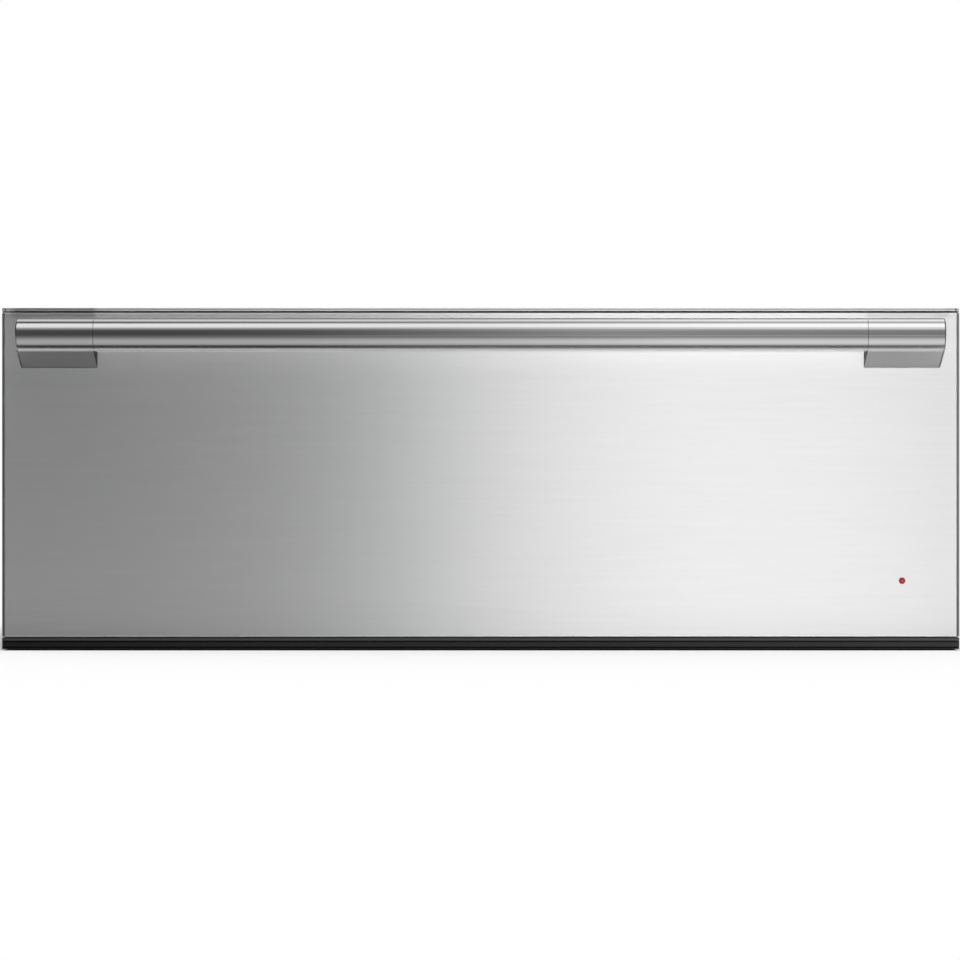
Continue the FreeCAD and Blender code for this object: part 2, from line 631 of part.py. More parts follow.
def cable_gland():
    inside = REAR_INNER_Y - GLAND_INSIDE
    body = rod(Y, (GLAND_X, inside, GLAND_Z), GLAND_INSIDE + SKIN, GLAND_R)
    flange = rod(Y, (GLAND_X, REAR_PLATE_Y, GLAND_Z), GLAND_FLANGE, GLAND_R + GLAND_RIM)
    nut = rod(Y, (GLAND_X, REAR_INNER_Y - GLAND_NUT, GLAND_Z), GLAND_NUT, GLAND_R + GLAND_RIM)
    bore = drill(Y, (GLAND_X, inside, GLAND_Z), GLAND_INSIDE + SKIN + GLAND_FLANGE, GLAND_BORE_R)
    return fused(body, flange, nut).cut(bore)


# ---------------------------------------------------------------- cavity
def heater_legs():
    half = CAVITY_HALF - HEATER_INSET
    return spaced(-half, half, HEATER_LEGS)


def probe_place():
    return -FAN_COVER_HALF - PROBE_OFFSET, CAVITY_TOP - PROBE_DROP


def cutout_place():
    return FAN_COVER_HALF + CUTOUT_OFFSET, CAVITY_TOP - CUTOUT_DROP


def back_wall_passes():
    """What passes the liner's back wall: (x, z, radius of its hole)."""
    legs = heater_legs()
    tails = [(x, HEATER_Z, HEATER_R + HEATER_HOLE_GAP) for x in (legs[0], legs[-1])]
    return tails + [(*probe_place(), PROBE_R + FIT), (0, FAN_Z, SHAFT_R + SHAFT_GAP)]


def oven_liner():
    front = FRAME_Y + CHASSIS
    outer = slab(CAVITY_HALF + LINER_WALL, front, LINER_REAR,
                 CAVITY_FLOOR - LINER_WALL, CAVITY_TOP + LINER_WALL)
    hollow = slab(CAVITY_HALF, front - PAST, LINER_BACK, CAVITY_FLOOR, CAVITY_TOP)
    rim = frame_ring(CAVITY_HALF, CAVITY_FLOOR, CAVITY_TOP, LINER_FLANGE, front, front + LINER_WALL)
    holes = [drill(Y, (x, LINER_BACK, z), LINER_WALL, radius) for x, z, radius in back_wall_passes()]
    return without(fused(outer, rim), hollow, holes)


def blankets():
    """Mineral-wool slabs round the liner: top, bottom, right, left and rear."""
    gap = INSULATION_GAP
    roof = CAVITY_TOP + LINER_WALL + gap
    ground = CAVITY_FLOOR - LINER_WALL - gap
    top = slab(BLANKET_HALF, BLANKET_FRONT, BLANKET_REAR, roof, FRAME_TOP - gap)
    bottom = slab(BLANKET_HALF, BLANKET_FRONT, BLANKET_REAR, BASE_TOP + gap, ground)
    side = block(CAVITY_HALF + LINER_WALL + gap, BLANKET_HALF, BLANKET_FRONT, BLANKET_REAR,
                 ground + gap, roof - gap)
    rear = slab(CAVITY_HALF + LINER_WALL, LINER_REAR + gap, BLANKET_REAR, ground + gap, roof - gap)
    motor_window = slab(MOTOR_HALF + BRACKET_TAB + BLANKET_WINDOW, LINER_REAR, BLANKET_REAR + PAST,
                        FAN_Z - MOTOR_BELOW - BLANKET_WINDOW, FAN_Z + MOTOR_ABOVE + BLANKET_WINDOW)
    legs = heater_legs()
    small = [(legs[0], HEATER_Z), (legs[-1], HEATER_Z), probe_place(), cutout_place()]
    windows = [drill(Y, (x, LINER_REAR, z), BLANKET_REAR - LINER_REAR, BLANKET_WINDOW + PROBE_R)
               for x, z in small[:3]]
    windows.append(drill(Y, (small[3][0], LINER_REAR, small[3][1]), BLANKET_REAR - LINER_REAR,
                         BLANKET_WINDOW + CUTOUT_R))
    return top, bottom, side, mirrored(side), without(rear, motor_window, windows)


def heating_element():
    """One tubular element: legs joined by half-turn bends, with both ends through the back wall."""
    legs = heater_legs()
    bend = (legs[1] - legs[0]) / 2
    front = FRAME_Y + HEATER_FRONT + bend
    back = LINER_BACK - HEATER_BACK - bend
    tail = LINER_REAR + HEATER_TAIL
    edges, start, way = [], tail, -1
    for i, x in enumerate(legs):
        last = i == len(legs) - 1
        end = tail if last else (front if way < 0 else back)
        edges.append(Part.makeLine(Vector(x, start, HEATER_Z), Vector(x, end, HEATER_Z)))
        if not last:
            crown = Vector(x + bend, end + way * bend, HEATER_Z)
            turn = Part.Arc(Vector(x, end, HEATER_Z), crown, Vector(legs[i + 1], end, HEATER_Z))
            edges.append(turn.toShape())
        start, way = end, -way
    return tube_along(edges, HEATER_R)


def heater_stand(x, y):
    """A folded stand with a saddle that one leg of the element rests in."""
    half, wall = HEATER_R + STAND_MARGIN, STAND_WALL / 2
    post = block(x - half, x + half, y - wall, y + wall, CAVITY_FLOOR, HEATER_Z + HEATER_R / 2)
    base = block(x - half, x + half, y - wall, y + STAND_FOOT, CAVITY_FLOOR, CAVITY_FLOOR + LINER_WALL)
    saddle_r = HEATER_R + SADDLE_FIT
    saddle = drill(Y, (x, y - wall, HEATER_Z), STAND_WALL, saddle_r)
    mouth = block(x - saddle_r, x + saddle_r, y - wall - PAST, y + wall + PAST, HEATER_Z, HEATER_Z + saddle_r)
    return without(fused(post, base), saddle, mouth)


def heater_stands():
    places = (FRAME_Y + (LINER_BACK - FRAME_Y) / 3, LINER_BACK - (LINER_BACK - FRAME_Y) / 3)
    return [heater_stand(x, y) for x in heater_legs() for y in places]


def grille_holes():
    for ring in range(1, GRILLE_RINGS + 1):
        count = 6 * ring
        for i in range(count):
            angle = 2 * math.pi * i / count
            x, z = ring * GRILLE_STEP * math.cos(angle), FAN_Z + ring * GRILLE_STEP * math.sin(angle)
            yield drill(Y, (x, FAN_COVER_Y, z), LINER_WALL, GRILLE_HOLE_R)


def fan_cover():
    """A tray over the fan, with a round inlet grille and a row of outlets along its top."""
    wall = LINER_WALL
    box = slab(FAN_COVER_HALF, FAN_COVER_Y, LINER_BACK, FAN_LOW, FAN_HIGH)
    hollow = slab(FAN_COVER_HALF - wall, FAN_COVER_Y + wall, LINER_BACK + PAST,
                  FAN_LOW + wall, FAN_HIGH - wall)
    middle = (OUTLET_COUNT - 1) / 2
    outlet = slab(OUTLET_LENGTH / 2, FAN_COVER_Y + OUTLET_INSET, LINER_BACK - OUTLET_INSET,
                  FAN_HIGH - wall - PAST, FAN_HIGH + PAST)
    outlets = [moved(outlet, x=(i - middle) * OUTLET_PITCH) for i in range(OUTLET_COUNT)]
    return without(box, hollow, outlets, list(grille_holes()))


# ---------------------------------------------------------------- fan and motor
def fan_blade(i):
    root = Vector(0, 0, FAN_BLADE_ROOT)
    blade = block(-FAN_PLATE / 2, FAN_PLATE / 2, FAN_FRONT, FAN_PLATE_Y, FAN_BLADE_ROOT, FAN_R - FAN_PLATE)
    blade.rotate(root, Y, FAN_BLADE_SWEEP)
    blade.translate(Vector(0, 0, FAN_Z))
    blade.rotate(Vector(0, 0, FAN_Z), Y, 360.0 / FAN_BLADES * i)
    return blade


def fan_impeller():
    plate = rod(Y, (0, FAN_PLATE_Y, FAN_Z), FAN_PLATE, FAN_R)
    hub = rod(Y, (0, FAN_PLATE_Y - FAN_HUB, FAN_Z), FAN_HUB, FAN_HUB_R)
    rim = rod(Y, (0, FAN_FRONT, FAN_Z), FAN_RIM_DEPTH, FAN_R)
    rim = rim.cut(drill(Y, (0, FAN_FRONT, FAN_Z), FAN_RIM_DEPTH, FAN_R - FAN_RIM))
    bore = drill(Y, (0, FAN_PLATE_Y - FAN_HUB, FAN_Z), FAN_HUB + FAN_PLATE, SHAFT_R)
    return fused(plate, hub, rim, [fan_blade(i) for i in range(FAN_BLADES)]).cut(bore)


def fan_shaft():
    front = FAN_PLATE_Y - FAN_HUB
    shaft = rod(Y, (0, front, FAN_Z), MOTOR_END + BRIDGE + SHAFT_TAIL - front, SHAFT_R)
    rotor = rod(Y, (0, MOTOR_Y + ROTOR_INSET, FAN_Z), MOTOR_STACK - 2 * ROTOR_INSET, ROTOR_R)
    return fused(shaft, rotor)


def motor_core():
    """Shaded-pole stack: a block with the rotor's bore and a window for the winding."""
    stack = slab(MOTOR_HALF, MOTOR_Y, MOTOR_END, FAN_Z - MOTOR_BELOW, FAN_Z + MOTOR_ABOVE)
    bore = drill(Y, (0, MOTOR_Y, FAN_Z), MOTOR_STACK, ROTOR_R + ROTOR_PLAY)
    window = slab(MOTOR_HALF - MOTOR_LEG, MOTOR_Y - PAST, MOTOR_END + PAST,
                  FAN_Z + ROTOR_R + MOTOR_NECK, FAN_Z + MOTOR_ABOVE - MOTOR_LEG)
    return without(stack, bore, window)


def coil_low():
    return max(FAN_Z + MOTOR_ABOVE - MOTOR_LEG - COIL_WRAP, FAN_Z + ROTOR_R + MOTOR_NECK + COIL_GAP)


def motor_coil():
    top = FAN_Z + MOTOR_ABOVE
    half = MOTOR_HALF - MOTOR_LEG - COIL_EDGE_R
    winding = slab(half, MOTOR_Y - COIL_WRAP, MOTOR_END + COIL_WRAP, coil_low(), top + COIL_WRAP)
    winding = rounded(winding, COIL_EDGE_R, lambda e: runs_along(e, X))
    core = slab(half + PAST, MOTOR_Y - COIL_GAP, MOTOR_END + COIL_GAP,
                top - MOTOR_LEG - COIL_GAP, top + COIL_GAP)
    return winding.cut(core)


def motor_bridges():
    """Two strips across the stack that hold the shaft's bushes."""
    strips = []
    for y in (MOTOR_Y - BRIDGE, MOTOR_END):
        strip = slab(MOTOR_HALF - BRIDGE_INSET, y, y + BRIDGE, FAN_Z - BRIDGE_HALF, FAN_Z + BRIDGE_HALF)
        strips.append(strip.cut(drill(Y, (0, y, FAN_Z), BRIDGE, SHAFT_R + SHAFT_PLAY)))
    return strips


def motor_bracket():
    """Top-hat carrier between the liner's back wall and the motor."""
    half, low = MOTOR_HALF + BRACKET_MARGIN, FAN_Z - MOTOR_BELOW - BRACKET_MARGIN
    high = coil_low() - SKIN
    crown = MOTOR_Y - BRIDGE - SKIN
    hat = slab(half, LINER_REAR, crown + SKIN, low, high)
    hollow = slab(half - SKIN, LINER_REAR - PAST, crown, low - PAST, high + PAST)
    tab = block(half - SKIN, half + BRACKET_TAB, LINER_REAR, LINER_REAR + SKIN, low, high)
    posts = [rod(Y, (side * (MOTOR_HALF - BRIDGE_INSET), crown, FAN_Z - MOTOR_BELOW + BRACKET_MARGIN),
                 SKIN + BRIDGE, BRACKET_POST_R) for side in (-1, 1)]
    shaft_hole = drill(Y, (0, crown, FAN_Z), SKIN, SHAFT_R + SHAFT_GAP)
    return fused(without(fused(hat, both_sides(tab)), hollow, shaft_hole), posts)


def thermal_cutout():
    x, z = cutout_place()
    can = rod(Y, (x, LINER_REAR, z), CUTOUT_DEPTH, CUTOUT_R)
    ears = block(x - CUTOUT_R - CUTOUT_EAR, x + CUTOUT_R + CUTOUT_EAR, LINER_REAR, LINER_REAR + LINER_WALL,
                 z - CUTOUT_EAR, z + CUTOUT_EAR)
    tab = block(x + LINER_WALL, x + 2 * LINER_WALL, LINER_REAR + CUTOUT_DEPTH,
                LINER_REAR + CUTOUT_DEPTH + CUTOUT_TAB, z - CUTOUT_R / 2, z + CUTOUT_R / 2)
    return fused(can, ears, tab, moved(tab, x=-3 * LINER_WALL))


def temperature_probe():
    x, z = probe_place()
    stem = rod(Y, (x, LINER_BACK - PROBE_REACH, z), PROBE_REACH + LINER_WALL + PROBE_TAIL, PROBE_R)
    return fused(stem, rod(Y, (x, LINER_REAR, z), PROBE_COLLAR, PROBE_COLLAR_R))


# ---------------------------------------------------------------- electrics
def power_board():
    """A populated circuit board on four stand-offs: transformer, relays, sockets and capacitors."""
    x0, x1 = BOARD_X - BOARD_HALF, BOARD_X + BOARD_HALF
    z0, z1 = BOARD_LOW, BOARD_LOW + BOARD_HEIGHT
    plate = block(x0, x1, BOARD_FACE, BOARD_BACK, z0, z1)
    stands = [rod(Y, (x, BOARD_BACK, z), BOARD_STAND, STAND_OFF_R)
              for x in (x0 + STAND_OFF_INSET, x1 - STAND_OFF_INSET)
              for z in (z0 + STAND_OFF_INSET, z1 - STAND_OFF_INSET)]
    width, height = (x1 - x0) / BOARD_COLUMNS, (z1 - z0) / BOARD_ROWS

    def mounted(column, columns, row, rows, reach):
        x, z = x0 + column * width, z0 + row * height
        return block(x, x + columns * width, BOARD_FACE - reach, BOARD_FACE, z, z + rows * height)

    transformer = mounted(1.0, 2.6, 1.4, 3.0, BOARD_STAND * 1.7)
    relays = [mounted(column, 1.4, 1.4, 2.4, BOARD_STAND * 1.5) for column in (4.4, 6.4)]
    sockets = [mounted(1.2, 4.0, 5.8, 1.0, BOARD_STAND),
               mounted(BOARD_COLUMNS - 1, 0.8, 3.0, 2.4, BOARD_STAND)]
    cans = [rod(Y, (x0 + column * width, BOARD_FACE - BOARD_STAND * 1.5, z1 - 2 * height),
                BOARD_STAND * 1.5, BOARD_STAND / 2) for column in (6.8, 8.2, 9.6)]
    return [fused(plate, stands), transformer, relays, sockets, cans]


def terminal_block():
    half = TERMINAL_WAYS * TERMINAL_PITCH / 2
    z0 = GLAND_Z + TERMINAL_RISE
    front = REAR_INNER_Y - TERMINAL_DEPTH
    body = block(GLAND_X - half, GLAND_X + half, front, REAR_INNER_Y, z0, z0 + TERMINAL_HEIGHT)
    ways = [GLAND_X + (i - (TERMINAL_WAYS - 1) / 2) * TERMINAL_PITCH for i in range(TERMINAL_WAYS)]
    wells = [rod(Y, (x, front - PAST, z0 + TERMINAL_HEIGHT / 2), TERMINAL_DEPTH / 2, TERMINAL_PITCH / 5)
             for x in ways]
    leads = [drill(Z, (x, REAR_INNER_Y - TERMINAL_DEPTH / 2, z0), TERMINAL_HEIGHT, LOOM_R) for x in ways]
    return without(body, wells, leads)


def wiring_loom():
    """The leads from the power board to the controls and the lamp, clipped beside the blanket."""
    side = BLANKET_HALF + LOOM_GAP + LOOM_R
    board = Vector(BOARD_X + BOARD_HALF, BOARD_FACE - BOARD_STAND / 2, BOARD_LOW + BOARD_HEIGHT / 2)
    front = FRAME_Y + CHASSIS + LOOM_SETBACK + LOOM_R
    high = CAVITY_TOP + LINER_WALL + LOOM_RISE + LOOM_R
    panel_x = PANEL_X + PANEL_HALF - BUTTON_INSET
    main = swept_tube([board, Vector(side, board.y, board.z), Vector(side, board.y, high),
                       Vector(side, front, high), Vector(panel_x, front, high),
                       Vector(panel_x, front, PANEL_Z - PANEL_HALF_HEIGHT + PANEL_WALL)], LOOM_R, LOOM_BEND)
    lamp_y = FRAME_Y + LED_LENGTH - LAMP_LEAD_R
    lamp = swept_tube([Vector(LENS_X + LED_R + LED_WALL, lamp_y, LENS_Z), Vector(side, lamp_y, LENS_Z),
                       Vector(side, lamp_y, high)], LAMP_LEAD_R, LOOM_BEND)
    clips = [block(side, SIDE_INNER, y - LOOM_CLIP / 2, y + LOOM_CLIP / 2, high - LOOM_R, high + LOOM_R)
             for y in spaced(BLANKET_FRONT + LOOM_BEND * 2, board.y - LOOM_BEND * 2, LOOM_CLIPS)]
    return fused(main, lamp, clips)


# ---------------------------------------------------------------- controls
BUTTON_NAMES = ("power_button", "temperature_button", "timer_button")
FASCIA_Y = FRAME_Y - PANEL_PROUD
FASCIA_BACK = FASCIA_Y + PANEL_WALL
BUTTON_BACK = FASCIA_BACK + BUTTON_DEPTH
SWITCH_FACE = BUTTON_BACK + BUTTON_TRAVEL + SWITCH_GAP
BOARD_FRONT = SWITCH_FACE + SWITCH


def button_x(i):
    return PANEL_X - PANEL_HALF + BUTTON_INSET + BUTTON_PITCH * i


def level_lights():
    return [PANEL_X + PANEL_HALF - LIGHT_INSET - LIGHT_PITCH * i for i in range(LIGHT_COUNT)]


def panel_block(inset, y0, y1):
    """The control panel's outline, drawn in by inset."""
    return block(PANEL_X - PANEL_HALF + inset, PANEL_X + PANEL_HALF - inset, y0, y1,
                 PANEL_Z - PANEL_HALF_HEIGHT + inset, PANEL_Z + PANEL_HALF_HEIGHT - inset)


def button_block(i, margin, y0, y1):
    return block(button_x(i) - BUTTON_HALF - margin, button_x(i) + BUTTON_HALF + margin, y0, y1,
                 PANEL_Z - BUTTON_HALF_HEIGHT - min(margin, BUTTON_PLAY),
                 PANEL_Z + BUTTON_HALF_HEIGHT + min(margin, BUTTON_PLAY))


def control_panel():
    inset = PANEL_WALL + FIT
    bezel = rounded(panel_block(0, FASCIA_Y, FRAME_Y), PANEL_EDGE_R, lambda e: lies_at(e, y=FASCIA_Y))
    body = panel_block(inset, FASCIA_Y + PANEL_PROUD / 2, BOARD_FRONT)
    hollow = panel_block(inset + INNER_PANEL_WALL, FASCIA_BACK, BOARD_FRONT + PAST)
    wells = [button_block(i, BUTTON_PLAY, FASCIA_Y - PAST, FASCIA_BACK + PAST)
             for i in range(len(BUTTON_NAMES))]
    lights = [drill(Y, (x, FASCIA_Y, PANEL_Z), PANEL_WALL, LIGHT_R + FIT) for x in level_lights()]
    return without(fused(bezel, body), hollow, wells, lights)


def button(i):
    front = FASCIA_Y - BUTTON_PROUD
    cap = rounded(button_block(i, 0, front, BUTTON_BACK), BUTTON_EDGE_R, lambda e: lies_at(e, y=front))
    collar = block(button_x(i) - BUTTON_HALF - BUTTON_COLLAR, button_x(i) + BUTTON_HALF + BUTTON_COLLAR,
                   FASCIA_BACK + SWITCH_GAP, BUTTON_BACK,
                   PANEL_Z - BUTTON_HALF_HEIGHT, PANEL_Z + BUTTON_HALF_HEIGHT)
    return fused(cap, collar)


def control_board():
    """Switches and level lights on a strip of circuit board that closes the panel's back."""
    plate = panel_block(PANEL_WALL, BOARD_FRONT, BOARD_FRONT + BOARD)
    switches = [block(button_x(i) - SWITCH_HALF, button_x(i) + SWITCH_HALF, SWITCH_FACE, BOARD_FRONT,
                      PANEL_Z - SWITCH_HALF, PANEL_Z + SWITCH_HALF) for i in range(len(BUTTON_NAMES))]
    light_front = FASCIA_Y + PANEL_WALL / 3
    lights = [rod(Y, (x, light_front, PANEL_Z), BOARD_FRONT - light_front, LIGHT_R) for x in level_lights()]
    return fused(plate, switches, lights)


def indicator_led():
    """The lamp on the frame that shines into the lens, in a holder with a flange."""
    front = FRAME_Y - LED_REACH
    flange = rod(Y, (LENS_X, front, LENS_Z), LED_REACH, LED_R + LED_WALL + LED_FLANGE)
    holder = rod(Y, (LENS_X, front, LENS_Z), LED_REACH + LED_LENGTH, LED_R + LED_WALL)
    return fused(flange, holder, Part.makeSphere(LED_R, Vector(LENS_X, front, LENS_Z)))


# ---------------------------------------------------------------- drawer front
def front_panel():
    """The folded stainless skin: a tray open at the back, its side bends wider than those above and below."""
    outer = rounded(slab(HALF, FACE_Y, INNER_Y, FRONT_BOTTOM, FRONT_TOP), FRONT_SIDE_R,
                    lambda e: lies_at(e, y=FACE_Y) and runs_along(e, Z))
    outer = rounded(outer, FRONT_EDGE_R, lambda e: lies_at(e, y=FACE_Y) and runs_along(e, X))
    inner = rounded(slab(SIDE_INNER, FACE_Y + SKIN, INNER_Y + PAST, FRONT_BOTTOM + SKIN, FRONT_TOP - SKIN),
                    FRONT_SIDE_R - SKIN, lambda e: lies_at(e, y=FACE_Y + SKIN) and runs_along(e, Z))
    holes = [drill(Y, (x, FACE_Y, HANDLE_SCREW_Z), SKIN, HANDLE_SCREW_R + FIT) for x in handle_screw_run()]
    lamp = drill(Y, (LENS_X, FACE_Y, LENS_Z), SKIN, LENS_R + FIT)
    return without(outer, inner, holes, lamp)


def front_inner_panel():
    """The drawer front's back: a shallow tray that slides into the skin's folds."""
    half, wall = SIDE_INNER - FIT, INNER_PANEL_WALL
    z0, z1 = FRONT_BOTTOM + SKIN + FIT, FRONT_TOP - SKIN - FIT
    tray = slab(half, INNER_Y - INNER_PANEL_FLANGE, INNER_Y, z0, z1)
    hollow = slab(half - wall, INNER_Y - INNER_PANEL_FLANGE - PAST, INNER_Y - wall, z0 + wall, z1 - wall)
    holes = [drill(Y, (x, INNER_Y - wall, z), wall, TUB_SCREW_R + FIT) for x, z in tub_screw_places()]
    lamp = drill(Y, (LENS_X, INNER_Y - wall, LENS_Z), wall, LENS_R + FIT)
    return without(tray, hollow, holes, lamp)


def front_insulation():
    inset = SKIN + FIT + INNER_PANEL_WALL + INSULATION_GAP
    wool = slab(HALF - inset, FACE_Y + SKIN + INSULATION_GAP, INNER_Y - INNER_PANEL_WALL - INSULATION_GAP,
                FRONT_BOTTOM + inset, FRONT_TOP - inset)
    pocket = block(BRACKET_INNER, HALF, FACE_Y,
                   FACE_Y + SKIN + BACKING_PLATE + HANDLE_SCREW_HEAD + INSULATION_GAP,
                   BRACKET_LOW - POCKET_MARGIN, BRACKET_HIGH + POCKET_MARGIN)
    guide = rod(Y, (LENS_X, FACE_Y, LENS_Z), FRONT_DEPTH, LENS_R + INSULATION_GAP)
    collar = rod(Y, (LENS_X, FACE_Y, LENS_Z), SKIN + LENS_FLANGE + INSULATION_GAP,
                 LENS_R + LENS_FLANGE + INSULATION_GAP)
    screw_room = [drill(Y, (x, INNER_Y - INNER_PANEL_WALL - FLANGE / 4, z), FLANGE / 4, TUB_SCREW_R + FIT)
                  for x, z in tub_screw_places()]
    return without(wool, both_sides(pocket), guide, collar, screw_room)


def drawer_seal():
    """Silicone seal round the opening, carried on the drawer front's back."""
    face = FRAME_Y - SEAL_PLAY
    ring = frame_ring(SEAL_INNER, SEAL_LOW, SEAL_HIGH, SEAL_WIDTH, INNER_Y, face)
    return rounded(ring, SEAL_EDGE_R, lambda e: lies_at(e, y=face))


def indicator_lens():
    """One red moulding: a domed lens, a flange behind the skin and a light guide to the lamp."""
    stem = rod(Y, (LENS_X, FACE_Y - LENS_DOME, LENS_Z), FRONT_DEPTH + LENS_DOME, LENS_R)
    flange = rod(Y, (LENS_X, FACE_Y + SKIN, LENS_Z), SKIN, LENS_R + LENS_FLANGE)
    ball_r = (LENS_R ** 2 + LENS_DOME ** 2) / (2 * LENS_DOME)
    tip = FACE_Y - 2 * LENS_DOME
    dome = Part.makeSphere(ball_r, Vector(LENS_X, tip + ball_r, LENS_Z))
    dome = dome.common(rod(Y, (LENS_X, tip - PAST, LENS_Z), LENS_DOME + PAST, LENS_R))
    return fused(stem, flange, dome)


# ---------------------------------------------------------------- handle
def tangent_point(y, z, side):
    """Where a line from (y, z) touches the bar's circle, above (side 1) or below it (side -1)."""
    dy, dz = y - HANDLE_Y, z - HANDLE_Z
    swing = math.acos(TUBE_R / math.hypot(dy, dz))
    angle = math.atan2(dz, dy) + side * swing
    return HANDLE_Y + TUBE_R * math.cos(angle), HANDLE_Z + TUBE_R * math.sin(angle)


def bracket_outline(x):
    """The bar's circle drawn back and down, by tangents, to the foot on the drawer front."""
    nose = Vector(x, HANDLE_Y - TUBE_R, HANDLE_Z)
    head, heel = Vector(x, FACE_Y, BRACKET_HIGH), Vector(x, FACE_Y, BRACKET_LOW)
    upper = Vector(x, *tangent_point(FACE_Y, BRACKET_HIGH, 1))
    lower = Vector(x, *tangent_point(FACE_Y, BRACKET_LOW, -1))
    return Part.Wire([Part.makeLine(head, upper), Part.Arc(upper, nose, lower).toShape(),
                      Part.makeLine(lower, heel), Part.makeLine(heel, head)])


def handle_bracket():
    """The right-hand casting, with a spigot that the bar slides over."""
    body = Part.Face(bracket_outline(BRACKET_INNER)).extrude(X * BRACKET_LENGTH)
    body = rounded(body, BRACKET_EDGE_R,
                   lambda e: lies_at(e, x=BRACKET_OUTER) and not lies_at(e, y=FACE_Y))
    spigot = rod(X, (BRACKET_INNER - SPIGOT_LENGTH, HANDLE_Y, HANDLE_Z), SPIGOT_LENGTH + PAST,
                 TUBE_R - TUBE_WALL - SPIGOT_FIT)
    holes = [rod(Y, (x, FACE_Y - HANDLE_SCREW_BITE - PAST, HANDLE_SCREW_Z), HANDLE_SCREW_BITE + 2 * PAST,
                 HANDLE_SCREW_R) for x in handle_screw_run() if x > 0]
    return fused(body, spigot).cut(holes)


def handle_screw_run():
    half = HANDLE_SCREW_PITCH / 2
    return [side * (BRACKET_MIDDLE + offset) for side in (1, -1) for offset in (-half, half)]


def handle_tube():
    half = BRACKET_INNER - SEAM
    bar = rod(X, (-half, HANDLE_Y, HANDLE_Z), 2 * half, TUBE_R)
    return bar.cut(drill(X, (-half, HANDLE_Y, HANDLE_Z), 2 * half, TUBE_R - TUBE_WALL))


def backing_plates():
    y0 = FACE_Y + SKIN
    plate = block(BRACKET_INNER + BACKING_INSET, BRACKET_OUTER - BACKING_INSET, y0, y0 + BACKING_PLATE,
                  BRACKET_LOW, BRACKET_HIGH)
    holes = [drill(Y, (x, y0, HANDLE_SCREW_Z), BACKING_PLATE, HANDLE_SCREW_R + FIT)
             for x in handle_screw_run() if x > 0]
    return both_sides(plate.cut(holes))


def handle_screw(x):
    seat = FACE_Y + SKIN + BACKING_PLATE
    start = FACE_Y - HANDLE_SCREW_BITE
    shank = rod(Y, (x, start, HANDLE_SCREW_Z), seat - start, HANDLE_SCREW_R)
    head = rod(Y, (x, seat, HANDLE_SCREW_Z), HANDLE_SCREW_HEAD, HANDLE_SCREW_HEAD_R)
    socket = rod(Y, (x, seat + HANDLE_SCREW_HEAD / 2, HANDLE_SCREW_Z), HANDLE_SCREW_HEAD,
                 HANDLE_SCREW_R * 0.7)
    return fused(shank, head).cut(socket)


# ---------------------------------------------------------------- drawer tub
def tub_screw_places():
    """The screws through the tub's front wall into the drawer front: (x, z)."""
    columns = spaced(TUB_SCREW_INSET - TUB_HALF, TUB_HALF - TUB_SCREW_INSET, 4)
    return [(x, z) for x in columns for z in (TUB_BOTTOM + TUB_SCREW_LOW, TUB_TOP - TUB_SCREW_HIGH)]


def runner_screw_run():
    return spaced(INNER_Y + RUNNER_SCREW_INSET, TUB_BACK - RUNNER_SCREW_INSET, 3)


def tub_shell(wall, z1):
    """The tub's rounded box, drawn in by wall, up to z1."""
    z0 = TUB_BOTTOM + wall
    box = rounded_slab(TUB_HALF - wall, INNER_Y + wall, TUB_BACK - wall, z0, z1, TUB_CORNER_R - wall)
    return rounded(box, TUB_FLOOR_R - wall, lambda e: lies_at(e, z=z0))


def drawer_tub():
    rim = rounded_slab(TUB_HALF + TUB_RIM, INNER_Y - TUB_RIM, TUB_BACK + TUB_RIM, TUB_TOP - TUB_WALL, TUB_TOP,
                       TUB_CORNER_R + TUB_RIM)
    ahead = slab(HALF, INNER_Y - 2 * TUB_RIM, INNER_Y, TUB_BOTTOM, HEIGHT)
    holes = [drill(Y, (x, INNER_Y, z), TUB_WALL, TUB_SCREW_R + FIT) for x, z in tub_screw_places()]
    holes += [drill(X, (-TUB_HALF, y, RAIL_Z), 2 * TUB_HALF, TUB_SCREW_R + FIT) for y in runner_screw_run()]
    return without(fused(tub_shell(0, TUB_TOP), rim), ahead, tub_shell(TUB_WALL, TUB_TOP + PAST), holes)


def tub_screw(seat, axis, bite):
    shank = Part.makeCylinder(TUB_SCREW_R, bite + TUB_SCREW_HEAD / 3, seat - axis * bite, axis)
    return fused(shank, pan_head(seat, axis))


def tub_screws():
    """Pan-head screws inside the tub: through its front wall, and three into each runner."""
    screws = [tub_screw(Vector(x, INNER_Y + TUB_WALL, z), Y, TUB_WALL + INNER_PANEL_WALL)
              for x, z in tub_screw_places()]
    for side in (1, -1):
        for y in runner_screw_run():
            seat = Vector(side * (TUB_HALF - TUB_WALL), y, RAIL_Z)
            screws.append(tub_screw(seat, X * -side, TUB_WALL + RAIL_WALL))
    return screws


def glass_plate():
    inset = TUB_FLOOR_R + GLASS_GAP
    z0 = TUB_BOTTOM + TUB_WALL
    plate = rounded_slab(TUB_HALF - inset, INNER_Y + inset, TUB_BACK - inset, z0, z0 + GLASS, GLASS_CORNER_R)
    return rounded(plate, GLASS_EDGE_R, lambda e: lies_at(e, z=z0 + GLASS))


def anti_slip_mat():
    inset = TUB_FLOOR_R + GLASS_GAP + MAT_INSET
    z0 = TUB_BOTTOM + TUB_WALL + GLASS
    return rounded_slab(TUB_HALF - inset, INNER_Y + inset, TUB_BACK - inset, z0, z0 + MAT,
                        GLASS_CORNER_R - MAT_INSET)


